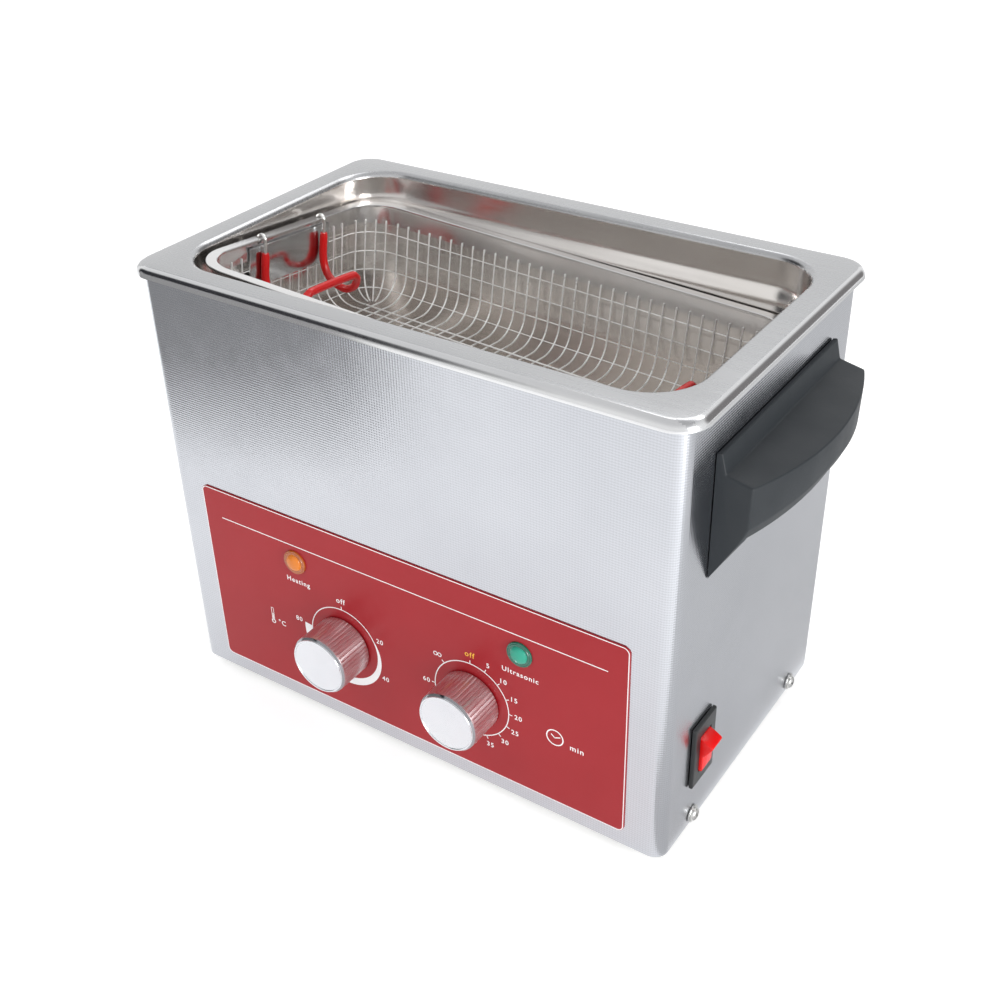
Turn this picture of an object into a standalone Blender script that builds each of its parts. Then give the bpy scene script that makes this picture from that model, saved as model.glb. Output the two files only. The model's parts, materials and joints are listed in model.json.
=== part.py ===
"""Table-top ultrasonic cleaner with a heated tank and a hanging basket, as separate parts.

Every size below is in millimetres, and finish() turns it into metres. The cleaner stands on
z = 0, its control panel faces -Y, and X runs along the panel. The housing's own centre is at
x = 0, y = 0 of the "cleaner" empty, which is moved back so that the world origin is the middle
of the whole footprint, knobs included.
"""

import math

import bmesh
import bpy
from mathutils import Matrix, Vector

MM = 0.001
UP = Vector((0, 0, 1))
FRONT = Vector((0, -1, 0))
BACK = Vector((0, 1, 0))
RIGHT = Vector((1, 0, 0))

# Clearance between solids that touch on the real thing
GAP = 0.3

# Rim and tank, pressed from one sheet
FOOT_HEIGHT = 6.0
RIM_TOP = FOOT_HEIGHT + 207.5
RIM_HALF_X = 132.5
RIM_HALF_Y = 81.0
RIM_CORNER = 13.0
RIM_ROUNDING = 4.0
SHEET = 1.2
MOUTH_ROUNDING = 2.8
UPPER_HALF_X = 118.0
UPPER_CORNER = 22.5
LOWER_HALF_X = 115.3
LOWER_CORNER = 19.8
SHOULDER_TOP = 12.5
SHOULDER_BOTTOM = 21.5
TANK_DEPTH = 100.0
FLOOR_FILLET = 18.0
CORNER_STEPS = 4
ROUNDING_STEPS = 4

# Housing sleeve and base
HOUSING_HALF_X = 128.0
HOUSING_HALF_Y = 77.0
HOUSING_CORNER = 6.5
HOUSING_SHEET = 1.0
HOUSING_EDGE = 0.7
HOUSING_TOP = RIM_TOP - 3.3
HOUSING_FLANGE_HALF_X = 121.5
GASKET_THICKNESS = 1.5
BASE_THICKNESS = 1.2
BASE_CLEARANCE = 0.4
BASE_WALL = 10.0
GASKET_OUTER = 127.0
GASKET_INNER = 122.0
GASKET_CORNER = 6.0
PILLAR_TOP = 9.5
PILLAR_RADIUS = 3.0
FOOT_X = 106.0
FOOT_Y = 56.0
FOOT_RADIUS = 8.0
SIDE_SCREW_Y = 50.0
SIDE_SCREW_Z = 5.0
SCREW_HOLE = 2.0
PLUG_HOLE = 2.8
INLET_HOLE = (14.0, 10.5)
VENT_COLUMNS = 6
VENT_PITCH = 26.0
VENT_WIDTH = 3.2
VENT_LENGTH = 20.0
VENT_Y = 64.0

# Control panel: places are (x, height above the housing's lower edge)
LABEL_LEFT = -110.0
LABEL_RIGHT = 110.5
LABEL_LOW = 8.0
LABEL_HIGH = 105.0
LABEL_CORNER = 3.0
LABEL_THICKNESS = 0.4
TEMPERATURE_DIAL = (-33.0, 46.0)
TIMER_DIAL = (35.9, 46.0)
HEATING_LAMP = (-57.5, 81.5)
ULTRASONIC_LAMP = (60.8, 81.0)
KNOB_FRONT = 96.8
KNOB_RADIUS = 14.3
KNOB_BACK_GAP = 0.6
KNOB_EDGE = 1.3
KNOB_HOLLOW = 7.5
SHAFT_RADIUS = 2.9
BUSH_RADIUS = 4.9
BUSH_END = 80.5
THERMOSTAT_SIZE = (34.0, 30.0, 30.0)
TIMER_SIZE = (42.0, 34.0, 42.0)
LAMP_RADIUS = 4.4
LAMP_BARREL = 5.0
LAMP_BEZEL = 6.0
LAMP_LENGTH = 22.0
LAMP_SEAT = 1.5

# Mains switch in the right-hand wall
SWITCH_Y = -46.25
SWITCH_Z = FOOT_HEIGHT + 40.0
SWITCH_FRAME = (18.5, 31.5)
SWITCH_BARREL = (12.8, 26.8)
SWITCH_PROUD = 1.8
SWITCH_WELL = (9.8, 19.0)
SWITCH_BACK_X = 102.0
SWITCH_WELL_X = 118.0
SWITCH_BEARING_REACH = 5.9
ROCKER_AXLE_REACH = 5.6
SWITCH_PIVOT_X = 127.0
ROCKER_WIDTH = 9.2
ROCKER_TILT = 17.0
ROCKER_AXLE = 1.2

# Carry handles
HANDLE_HALF_Y = 53.0
HANDLE_CHEEK = 2.5
HANDLE_WALL = 2.7
HANDLE_REACH = 153.3
HANDLE_ARC = 139.0
HANDLE_LIP = 161.0
HANDLE_LIP_DROP = 5.0
HANDLE_LOW = 137.0
HANDLE_CHEEK_LOW = 129.4
HANDLE_SCREW_Y = 40.0
HANDLE_SCREW_Z = FOOT_HEIGHT + 166.0

# Basket, which sits aslant in the tank: heights fall by these slopes towards +X and +Y
BASKET_SEAT = RIM_TOP - 13.0
BASKET_SLOPE_X = -0.053
BASKET_SLOPE_Y = -0.10
BASKET_DEPTH = 45.0
BASKET_FILLET = 12.0
FLANGE_THICKNESS = 1.2
BAND_DEPTH = 9.5
MESH_WALL = 0.8
PIVOT_X = 110.6
BAIL_HALF_Y = 20.0
BAIL_WIRE = 0.85
HOOK_RADIUS = 1.9
HOOK_TURN = 235.0
HOOK_STEPS = 8
SLEEVE_RADIUS = 1.9
SLEEVE_BORE = 1.2

# Things inside the housing
TRANSDUCER_X = 50.0
TRANSDUCER_Y = 12.0
BOARD_SIZE = (130.0, 66.0, 1.6)
BOARD_CENTRE = (-8.0, 24.0)
PILLAR_X = 58.0
PILLAR_Y = 27.0
INLET_X = 78.0
INLET_Z = FOOT_HEIGHT + 32.0

# The footprint's middle lies halfway between the knob faces and the back of the rim
CENTRE_SHIFT = (KNOB_FRONT - RIM_HALF_Y) / 2


# ---------------------------------------------------------------- shapes

def skin(rings, loop=False):
    """A closed mesh through a row of rings. A ring of one point is a tip."""
    mesh = bmesh.new()
    rows = [[mesh.verts.new(point) for point in ring] for ring in rings]
    pairs = list(zip(rows, rows[1:]))
    if loop:
        pairs.append((rows[-1], rows[0]))
    for low, high in pairs:
        count = max(len(low), len(high))
        for first in range(count):
            second = (first + 1) % count
            corners = [low[first % len(low)], low[second % len(low)]]
            corners += [high[second % len(high)], high[first % len(high)]]
            mesh.faces.new(list(dict.fromkeys(corners)))
    if not loop:
        for row in (rows[0], rows[-1]):
            if len(row) > 2:
                mesh.faces.new(row)
    bmesh.ops.recalc_face_normals(mesh, faces=mesh.faces)
    return mesh


def rounded_ring(half_x, half_y, corner, z, steps=CORNER_STEPS):
    """Points round a rounded rectangle in a level plane."""
    points = []
    for quarter, (side_x, side_y) in enumerate(((1, 1), (-1, 1), (-1, -1), (1, -1))):
        centre = Vector((side_x * (half_x - corner), side_y * (half_y - corner), z))
        for step in range(steps + 1):
            angle = math.radians(90 * (quarter + step / steps))
            points.append(centre + corner * Vector((math.cos(angle), math.sin(angle), 0)))
    return points


def turned(profile, segments=24, loop=False):
    """A turned solid about +Z from (radius, height) pairs."""
    rings = []
    for radius, height in profile:
        if radius == 0:
            rings.append([Vector((0, 0, height))])
            continue
        angles = [2 * math.pi * step / segments for step in range(segments)]
        rings.append([Vector((radius * math.cos(a), radius * math.sin(a), height)) for a in angles])
    return skin(rings, loop)


def rod(radius, start, end, segments=16):
    """A round bar from one point to another."""
    start, end = Vector(start), Vector(end)
    mesh = turned([(radius, 0), (radius, (end - start).length)], segments)
    turn = UP.rotation_difference(end - start).to_matrix().to_4x4()
    mesh.transform(Matrix.Translation(start) @ turn)
    return mesh


def block(low, high, bevel=0.0):
    """A rectangular block between two corners, with its edges bevelled."""
    low, high = Vector(low), Vector(high)
    mesh = bmesh.new()
    bmesh.ops.create_cube(mesh, size=1)
    size = Matrix.Diagonal((*(high - low), 1))
    mesh.transform(Matrix.Translation((low + high) / 2) @ size)
    if bevel:
        bmesh.ops.bevel(mesh, geom=mesh.edges[:], offset=bevel, segments=1, affect="EDGES")
    return mesh


def prism(outline, start, end, axis="Y"):
    """An outline of (x, z) points extruded along Y, or of (y, z) points along X."""
    def place(point, depth):
        if axis == "Y":
            return Vector((point[0], depth, point[1]))
        return Vector((depth, point[0], point[1]))
    return skin([[place(point, depth) for point in outline] for depth in (start, end)])


def smooth_path(points, steps):
    """Points along a smooth curve that passes through the given points."""
    points = [Vector(point) for point in points]
    padded = [2 * points[0] - points[1]] + points + [2 * points[-1] - points[-2]]
    path = []
    for before, start, end, after in zip(padded, padded[1:], padded[2:], padded[3:]):
        for step in range(steps):
            t = step / steps
            path.append(0.5 * (2 * start + (end - before) * t
                               + (2 * before - 5 * start + 4 * end - after) * t ** 2
                               + (3 * start - before - 3 * end + after) * t ** 3))
    path.append(points[-1])
    return path


def path_rings(path, radii, sides):
    """Round sections across a path, turned as little as possible from one to the next."""
    rings = []
    normal = None
    for index, point in enumerate(path):
        ahead = path[min(index + 1, len(path) - 1)]
        behind = path[max(index - 1, 0)]
        tangent = (ahead - behind).normalized()
        if normal is None:
            normal = tangent.orthogonal()
        normal = (normal - tangent * normal.dot(tangent)).normalized()
        other = tangent.cross(normal)
        angles = [2 * math.pi * side / sides for side in range(sides)]
        radius = radii[index]
        rings.append([point + radius * (math.cos(a) * normal + math.sin(a) * other) for a in angles])
    return rings


def tube(path, radius, sides=8, bore=None):
    """A round bar along a path, or a pipe if it has a bore."""
    outer = path_rings(path, [radius] * len(path), sides)
    if bore is None:
        return skin(outer)
    inner = path_rings(path, [bore] * len(path), sides)
    return skin(outer + inner[::-1], loop=True)


def gathered(meshes):
    """Several meshes as one."""
    whole = bmesh.new()
    for mesh in meshes:
        copy = bpy.data.meshes.new("part")
        mesh.to_mesh(copy)
        mesh.free()
        whole.from_mesh(copy)
        bpy.data.meshes.remove(copy)
    return whole


def mirrored(mesh):
    """The mesh reflected in the plane x = 0."""
    mesh.transform(Matrix.Diagonal((-1, 1, 1, 1)))
    bmesh.ops.reverse_faces(mesh, faces=mesh.faces)
    return mesh


def shaped(base, tools, operation):
    """The base mesh after a Boolean with the tools, which are freed."""
    pair = []
    for name, mesh in (("base", base), ("tool", gathered(tools))):
        data = bpy.data.meshes.new(name)
        mesh.to_mesh(data)
        mesh.free()
        item = bpy.data.objects.new(name, data)
        bpy.context.collection.objects.link(item)
        pair.append(item)
    body, tool = pair
    modifier = body.modifiers.new("shape", "BOOLEAN")
    modifier.operation = operation
    modifier.solver = "EXACT"
    modifier.use_self = True
    modifier.object = tool
    bpy.context.view_layer.update()
    depsgraph = bpy.context.evaluated_depsgraph_get()
    result = bmesh.new()
    result.from_mesh(body.evaluated_get(depsgraph).data)
    for item in pair:
        data = item.data
        bpy.data.objects.remove(item)
        bpy.data.meshes.remove(data)
    return result


def cut(base, tools):
    return shaped(base, tools, "DIFFERENCE")


def joined(base, tools):
    return shaped(base, tools, "UNION")


# ---------------------------------------------------------------- materials and objects

def paint(name, colour, roughness, metallic=0.0):
    material = bpy.data.materials.new(name)
    material.use_nodes = True
    shader = material.node_tree.nodes["Principled BSDF"]
    shader.inputs["Base Color"].default_value = (*colour, 1)
    shader.inputs["Roughness"].default_value = roughness
    shader.inputs["Metallic"].default_value = metallic
    return material


def make_materials():
    return {
        "housing_steel": paint("housing_steel", (0.62, 0.65, 0.70), 0.42, 1.0),
        "tank_steel": paint("tank_steel", (0.64, 0.62, 0.60), 0.3, 1.0),
        "polished_steel": paint("polished_steel", (0.72, 0.72, 0.72), 0.15, 1.0),
        "zinc_steel": paint("zinc_steel", (0.55, 0.56, 0.57), 0.4, 1.0),
        "label_film": paint("label_film", (0.40, 0.05, 0.06), 0.45),
        "knob_aluminium": paint("knob_aluminium", (0.75, 0.75, 0.76), 0.25, 1.0),
        "black_plastic": paint("black_plastic", (0.02, 0.02, 0.02), 0.4),
        "handle_plastic": paint("handle_plastic", (0.05, 0.065, 0.075), 0.55),
        "red_plastic": paint("red_plastic", (0.6, 0.02, 0.015), 0.3),
        "switch_red": paint("switch_red", (0.75, 0.02, 0.02), 0.2),
        "amber_lens": paint("amber_lens", (0.85, 0.35, 0.03), 0.15),
        "green_lens": paint("green_lens", (0.02, 0.40, 0.28), 0.15),
        "rubber_black": paint("rubber_black", (0.03, 0.03, 0.03), 0.8),
        "sealing_rubber": paint("sealing_rubber", (0.06, 0.06, 0.06), 0.7),
        "transducer_aluminium": paint("transducer_aluminium", (0.78, 0.78, 0.79), 0.35, 1.0),
        "piezo_ceramic": paint("piezo_ceramic", (0.45, 0.40, 0.30), 0.6),
        "steel_dark": paint("steel_dark", (0.30, 0.30, 0.31), 0.4, 1.0),
        "heater_rubber": paint("heater_rubber", (0.50, 0.16, 0.06), 0.7),
        "copper": paint("copper", (0.72, 0.35, 0.20), 0.35, 1.0),
        "board_green": paint("board_green", (0.03, 0.16, 0.06), 0.5),
        "ferrite": paint("ferrite", (0.05, 0.05, 0.055), 0.6),
        "capacitor_blue": paint("capacitor_blue", (0.03, 0.06, 0.22), 0.35),
        "thermostat_cream": paint("thermostat_cream", (0.62, 0.58, 0.48), 0.5),
        "brass_pin": paint("brass_pin", (0.72, 0.60, 0.35), 0.3, 1.0),
        "wire_black": paint("wire_black", (0.02, 0.02, 0.022), 0.5),
        "wire_red": paint("wire_red", (0.55, 0.03, 0.02), 0.5),
    }


def finish(name, mesh, material, parent, location=(0, 0, 0)):
    """Turn a millimetre mesh into a named object in metres, with its origin at location."""
    mesh.transform(Matrix.Diagonal((MM, MM, MM, 1)))
    data = bpy.data.meshes.new(name)
    mesh.to_mesh(data)
    mesh.free()
    data.shade_smooth()
    data.set_sharp_from_angle(angle=math.radians(35))
    data.materials.clear()
    data.materials.append(material)
    item = bpy.data.objects.new(name, data)
    bpy.context.collection.objects.link(item)
    item.location = Vector(location) * MM
    item.parent = parent
    return item


def empty(name, location, parent=None):
    item = bpy.data.objects.new(name, None)
    bpy.context.collection.objects.link(item)
    item.location = Vector(location) * MM
    item.parent = parent
    return item


# ---------------------------------------------------------------- tank, housing and base

def tank_ring(half_x, corner, z):
    """Every level outline of the tank is as much narrower than it is long."""
    return rounded_ring(half_x, half_x - RIM_HALF_X + RIM_HALF_Y, corner, z)


def quarter(steps, backwards=False):
    angles = [math.radians(90 * step / steps) for step in range(steps + 1)]
    return angles[::-1] if backwards else angles


def tank_side(offset):
    """Outlines of one face of the tank's sheet, from its floor up to its mouth."""
    rings = []
    fillet = FLOOR_FILLET + offset
    for angle in quarter(ROUNDING_STEPS):
        reach = fillet * math.sin(angle) - FLOOR_FILLET
        height = RIM_TOP - TANK_DEPTH + FLOOR_FILLET - fillet * math.cos(angle)
        rings.append(tank_ring(LOWER_HALF_X + reach, LOWER_CORNER + reach, height))
    for step in range(ROUNDING_STEPS):
        share = step / (ROUNDING_STEPS - 1)
        spread = (UPPER_HALF_X - LOWER_HALF_X) * share ** 2 * (3 - 2 * share) + offset
        height = RIM_TOP - SHOULDER_BOTTOM + (SHOULDER_BOTTOM - SHOULDER_TOP) * share
        rings.append(tank_ring(LOWER_HALF_X + spread, LOWER_CORNER + spread, height))
    mouth = MOUTH_ROUNDING - offset
    for angle in quarter(ROUNDING_STEPS):
        reach = MOUTH_ROUNDING - mouth * math.cos(angle)
        height = RIM_TOP - MOUTH_ROUNDING + mouth * math.sin(angle)
        rings.append(tank_ring(UPPER_HALF_X + reach, UPPER_CORNER + reach, height))
    return rings


def rim_edge(offset):
    """Outlines of one face of the rim's turned-down edge, from the flat out to the lip."""
    rings = []
    radius = RIM_ROUNDING - offset
    for angle in quarter(ROUNDING_STEPS):
        reach = RIM_ROUNDING - radius * math.sin(angle)
        height = RIM_TOP - RIM_ROUNDING + radius * math.cos(angle)
        rings.append(tank_ring(RIM_HALF_X - reach, RIM_CORNER - reach, height))
    return rings


def make_tank(parent, materials):
    rings = tank_side(0) + rim_edge(0) + rim_edge(SHEET)[::-1] + tank_side(SHEET)[::-1]
    finish("tank", skin(rings), materials["tank_steel"], parent)


def housing_holes():
    """Cutters for the holes in the housing's walls."""
    holes = []
    outside, inside = HOUSING_HALF_Y + 2, HOUSING_HALF_Y - 4
    fronts = [(TEMPERATURE_DIAL, BUSH_RADIUS), (TIMER_DIAL, BUSH_RADIUS)]
    fronts += [(HEATING_LAMP, LAMP_BARREL), (ULTRASONIC_LAMP, LAMP_BARREL)]
    for (x, height), radius in fronts:
        z = FOOT_HEIGHT + height
        holes.append(rod(radius + GAP, (x, -outside, z), (x, -inside, z)))
    half_x, half_z = INLET_HOLE
    holes.append(block((INLET_X - half_x, inside, INLET_Z - half_z),
                       (INLET_X + half_x, outside, INLET_Z + half_z)))
    outside, inside = HOUSING_HALF_X + 2, HOUSING_HALF_X - 4
    half_y, half_z = SWITCH_BARREL[0] / 2 + GAP, SWITCH_BARREL[1] / 2 + GAP
    holes.append(block((inside, SWITCH_Y - half_y, SWITCH_Z - half_z),
                       (outside, SWITCH_Y + half_y, SWITCH_Z + half_z)))
    for side in (-1, 1):
        for y in (-1, 1):
            z = FOOT_HEIGHT + SIDE_SCREW_Z
            holes.append(rod(SCREW_HOLE, (side * inside, y * SIDE_SCREW_Y, z),
                             (side * outside, y * SIDE_SCREW_Y, z), 10))
            z = HANDLE_SCREW_Z
            holes.append(rod(SCREW_HOLE, (side * inside, y * HANDLE_SCREW_Y, z),
                             (side * outside, y * HANDLE_SCREW_Y, z), 10))
    return holes


def housing_ring(half_x, corner, z):
    """Every level outline of the housing keeps the same difference between its sides."""
    return rounded_ring(half_x, half_x - HOUSING_HALF_X + HOUSING_HALF_Y, corner, z)


def make_housing(parent, materials):
    def ring(inset, z):
        return housing_ring(HOUSING_HALF_X - inset, HOUSING_CORNER - inset, z)

    low, top = FOOT_HEIGHT, HOUSING_TOP
    under = top - HOUSING_SHEET
    rings = [ring(0, low), ring(0, top - HOUSING_EDGE), ring(HOUSING_EDGE, top)]
    rings += [housing_ring(HOUSING_FLANGE_HALF_X, HOUSING_CORNER, z) for z in (top, under)]
    rings += [ring(HOUSING_SHEET, under), ring(HOUSING_SHEET, low)]
    mesh = cut(skin(rings, loop=True), housing_holes())
    finish("housing_shell", mesh, materials["housing_steel"], parent)


def make_gasket(parent, materials):
    low = HOUSING_TOP + GAP
    high = low + GASKET_THICKNESS
    corners = ((GASKET_OUTER, low), (GASKET_OUTER, high), (GASKET_INNER, high), (GASKET_INNER, low))
    rings = [housing_ring(half, GASKET_CORNER, z) for half, z in corners]
    finish("rim_gasket", skin(rings, loop=True), materials["sealing_rubber"], parent)


def vent_slot(x, y):
    """Cutter for one round-ended slot through the base."""
    reach = (VENT_LENGTH - VENT_WIDTH) / 2
    radius = VENT_WIDTH / 2
    outline = []
    for end in (1, -1):
        for step in range(5):
            angle = math.radians(45 * step - 90 + (0 if end == 1 else 180))
            outline.append((x + end * reach + radius * math.cos(angle), y + radius * math.sin(angle)))
    return skin([[Vector((px, py, z)) for px, py in outline] for z in (FOOT_HEIGHT - 2, FOOT_HEIGHT + 3)])


def make_base(parent, materials):
    outer = HOUSING_HALF_X - HOUSING_SHEET - BASE_CLEARANCE
    inner = outer - BASE_THICKNESS
    corner = HOUSING_CORNER - HOUSING_SHEET - BASE_CLEARANCE
    floor = FOOT_HEIGHT + BASE_THICKNESS
    top = FOOT_HEIGHT + BASE_WALL
    rings = [housing_ring(outer, corner, z) for z in (FOOT_HEIGHT, top)]
    rings += [housing_ring(inner, corner - BASE_THICKNESS, z) for z in (top, floor)]
    pillars = []
    for side_x in (-1, 1):
        for side_y in (-1, 1):
            x = BOARD_CENTRE[0] + side_x * PILLAR_X
            y = BOARD_CENTRE[1] + side_y * PILLAR_Y
            pillars.append(rod(PILLAR_RADIUS, (x, y, floor - 0.6), (x, y, FOOT_HEIGHT + PILLAR_TOP), 8))
    mesh = joined(skin(rings), pillars)
    holes = []
    for column in range(VENT_COLUMNS):
        x = (column - (VENT_COLUMNS - 1) / 2) * VENT_PITCH
        holes += [vent_slot(x, -VENT_Y), vent_slot(x, VENT_Y)]
    for side_x in (-1, 1):
        for side_y in (-1, 1):
            x, y = side_x * FOOT_X, side_y * FOOT_Y
            holes.append(rod(PLUG_HOLE, (x, y, FOOT_HEIGHT - 2), (x, y, FOOT_HEIGHT + 3), 10))
            z = FOOT_HEIGHT + SIDE_SCREW_Z
            holes.append(rod(SCREW_HOLE, (side_x * (inner - 2), side_y * SIDE_SCREW_Y, z),
                             (side_x * (outer + 2), side_y * SIDE_SCREW_Y, z), 10))
    finish("base_plate", cut(mesh, holes), materials["zinc_steel"], parent)


def make_feet(parent, materials):
    """Rubber feet, each with a plug that is pressed into a hole in the base."""
    seat = FOOT_HEIGHT - GAP
    profile = [(0, 0), (6.8, 0), (FOOT_RADIUS - 0.4, 0.9), (FOOT_RADIUS, seat), (2.4, seat)]
    profile += [(2.4, seat + 2.4), (1.5, seat + 5), (0, seat + 5)]
    for end, y in (("front", -FOOT_Y), ("rear", FOOT_Y)):
        for side, x in (("left", -FOOT_X), ("right", FOOT_X)):
            finish(f"foot_{end}_{side}", turned(profile, 14), materials["rubber_black"], parent, (x, y, 0))


def make_side_screws(parent, materials):
    """Pan-head screws with a built-in washer, which hold the sleeve to the base."""
    profile = [(0, -7), (1.6, -7), (1.6, 0), (4.0, 0), (4.0, 0.7)]
    profile += [(3.0, 0.7), (2.9, 1.6), (1.9, 2.3), (0, 2.5)]
    for side, facing in (("left", -RIGHT), ("right", RIGHT)):
        for end, y in (("front", -SIDE_SCREW_Y), ("rear", SIDE_SCREW_Y)):
            mesh = turned(profile, 12)
            mesh.transform(UP.rotation_difference(facing).to_matrix().to_4x4())
            place = (facing.x * (HOUSING_HALF_X + GAP), y, FOOT_HEIGHT + SIDE_SCREW_Z)
            finish(f"side_screw_{side}_{end}", mesh, materials["zinc_steel"], parent, place)


# ---------------------------------------------------------------- control panel

def rounded_outline(left, right, low, high, corner, steps=4):
    ring = rounded_ring((right - left) / 2, (high - low) / 2, corner, 0, steps)
    return [(point.x + (left + right) / 2, point.y + (low + high) / 2) for point in ring]


def make_label(parent, materials):
    outline = rounded_outline(LABEL_LEFT, LABEL_RIGHT, FOOT_HEIGHT + LABEL_LOW,
                              FOOT_HEIGHT + LABEL_HIGH, LABEL_CORNER)
    back = -HOUSING_HALF_Y - GAP
    mesh = prism(outline, back, back - LABEL_THICKNESS)
    holes = []
    for (x, height), radius in ((TEMPERATURE_DIAL, BUSH_RADIUS), (TIMER_DIAL, BUSH_RADIUS),
                                (HEATING_LAMP, LAMP_BARREL), (ULTRASONIC_LAMP, LAMP_BARREL)):
        z = FOOT_HEIGHT + height
        holes.append(rod(radius + GAP, (x, back + 2, z), (x, back - 2, z)))
    finish("control_label", cut(mesh, holes), materials["label_film"], parent)


def make_knob(name, dial, parent, materials):
    """A turned knob, hollow behind for the bush and bored for the shaft."""
    back = HOUSING_HALF_Y + GAP + LABEL_THICKNESS + KNOB_BACK_GAP
    profile = [(KNOB_RADIUS, back), (KNOB_RADIUS, KNOB_FRONT - KNOB_EDGE), (KNOB_RADIUS - 1.1, KNOB_FRONT)]
    profile += [(KNOB_RADIUS - 1.8, KNOB_FRONT - 0.5), (KNOB_RADIUS / 2, KNOB_FRONT - 0.9)]
    profile += [(0, KNOB_FRONT - 1.0), (0, KNOB_FRONT - 2.7), (SHAFT_RADIUS + GAP, KNOB_FRONT - 2.7)]
    profile += [(SHAFT_RADIUS + GAP, BUSH_END + 1.5), (KNOB_HOLLOW, BUSH_END + 1.0)]
    rings = [(radius, reach - HOUSING_HALF_Y) for radius, reach in profile]
    mesh = turned(rings[:6], 24)
    hollow = turned([(0, rings[6][1])] + rings[7:] + [(KNOB_HOLLOW, back - HOUSING_HALF_Y - 2)], 16)
    mesh = cut(mesh, [hollow])
    mesh.transform(UP.rotation_difference(FRONT).to_matrix().to_4x4())
    place = (dial[0], -HOUSING_HALF_Y, FOOT_HEIGHT + dial[1])
    finish(name, mesh, materials["knob_aluminium"], parent, place)


def make_shaft(name, dial, parent, materials):
    mesh = rod(SHAFT_RADIUS, (0, 14, 0), (0, HOUSING_HALF_Y - KNOB_FRONT + 3.0, 0), 16)
    place = (dial[0], -HOUSING_HALF_Y, FOOT_HEIGHT + dial[1])
    finish(name, mesh, materials["steel_dark"], parent, place)


def make_control(name, dial, size, colour, parent, materials):
    """A thermostat or timer: a block behind the panel, with a bush that comes through it."""
    x, z = dial[0], FOOT_HEIGHT + dial[1]
    width, depth, height = size
    front = -HOUSING_HALF_Y + HOUSING_SHEET + GAP
    mesh = block((x - width / 2, front, z - height / 2),
                 (x + width / 2, front + depth, z + height / 2), 1.2)
    mesh = joined(mesh, [rod(BUSH_RADIUS, (x, front + 2, z), (x, -BUSH_END, z))])
    mesh = cut(mesh, [rod(SHAFT_RADIUS + GAP, (x, -BUSH_END - 2, z), (x, -HOUSING_HALF_Y + 16, z))])
    finish(name, mesh, materials[colour], parent)


def make_lamp(name, place, lens, parent, materials):
    """A pilot lamp: a black barrel with a bezel, and a domed lens set in its mouth."""
    surface = LABEL_THICKNESS + 2 * GAP
    barrel = [(0, -LAMP_LENGTH), (LAMP_BARREL - 1, -LAMP_LENGTH), (LAMP_BARREL - 1, -12), (LAMP_BARREL, -12)]
    barrel += [(LAMP_BARREL, surface), (LAMP_BEZEL, surface), (LAMP_BEZEL - 0.3, surface + 0.9)]
    barrel += [(LAMP_RADIUS + GAP, surface + 0.9), (LAMP_RADIUS + GAP, -LAMP_SEAT), (0, -LAMP_SEAT)]
    front = surface + 0.8
    dome = [(0, GAP - LAMP_SEAT), (LAMP_RADIUS, GAP - LAMP_SEAT), (LAMP_RADIUS, front)]
    dome += [(LAMP_RADIUS * math.cos(a), front + 1.5 * math.sin(a)) for a in (0.5, 1.0)]
    dome += [(0, front + 1.5)]
    turn = UP.rotation_difference(FRONT).to_matrix().to_4x4()
    location = (place[0], -HOUSING_HALF_Y, FOOT_HEIGHT + place[1])
    for suffix, profile, colour in (("body", barrel, "black_plastic"), ("lens", dome, lens)):
        mesh = turned(profile, 16)
        mesh.transform(turn)
        finish(f"{name}_{suffix}", mesh, materials[colour], parent, location)


# ---------------------------------------------------------------- mains switch

def rocker_outline():
    """The rocker's section at rest as (out, up) from its axle, tipped with its upper end out."""
    half = [(4.6, 0.0), (6.6, 6.4), (6.75, 7.1), (6.1, 7.6), (0.3, 8.8), (-4.0, 8.0)]
    points = half + [(out, -up) for out, up in half[:0:-1]]
    tilt = math.radians(ROCKER_TILT)
    return [(out * math.cos(tilt) + up * math.sin(tilt), up * math.cos(tilt) - out * math.sin(tilt))
            for out, up in points]


def make_switch(parent, materials):
    outside = HOUSING_HALF_X + GAP
    half_y, half_z = SWITCH_FRAME[0] / 2, SWITCH_FRAME[1] / 2
    frame = block((outside, SWITCH_Y - half_y, SWITCH_Z - half_z),
                  (outside + SWITCH_PROUD, SWITCH_Y + half_y, SWITCH_Z + half_z), 0.6)
    half_y, half_z = SWITCH_BARREL[0] / 2, SWITCH_BARREL[1] / 2
    barrel = block((SWITCH_BACK_X, SWITCH_Y - half_y, SWITCH_Z - half_z),
                   (outside + 0.9, SWITCH_Y + half_y, SWITCH_Z + half_z))
    frame = joined(frame, [barrel])
    half_y, half_z = SWITCH_WELL[0] / 2, SWITCH_WELL[1] / 2
    well = block((SWITCH_WELL_X, SWITCH_Y - half_y, SWITCH_Z - half_z),
                 (outside + 9, SWITCH_Y + half_y, SWITCH_Z + half_z))
    bearing = rod(ROCKER_AXLE + GAP, (SWITCH_PIVOT_X, SWITCH_Y - SWITCH_BEARING_REACH, SWITCH_Z),
                  (SWITCH_PIVOT_X, SWITCH_Y + SWITCH_BEARING_REACH, SWITCH_Z), 12)
    finish("switch_frame", cut(frame, [joined(well, [bearing])]), materials["black_plastic"], parent)

    half = ROCKER_WIDTH / 2
    rocker = prism(rocker_outline(), -half, half)
    axle = rod(ROCKER_AXLE, (0, -ROCKER_AXLE_REACH, 0), (0, ROCKER_AXLE_REACH, 0), 12)
    rocker = joined(rocker, [axle])
    finish("switch_rocker", rocker, materials["switch_red"], parent, (SWITCH_PIVOT_X, SWITCH_Y, SWITCH_Z))


# ---------------------------------------------------------------- carry handles

def handle_edge(y):
    """How far the grip's outer edge reaches at a place along it."""
    return HANDLE_REACH - (HANDLE_ARC - math.sqrt(HANDLE_ARC ** 2 - y ** 2))


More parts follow.
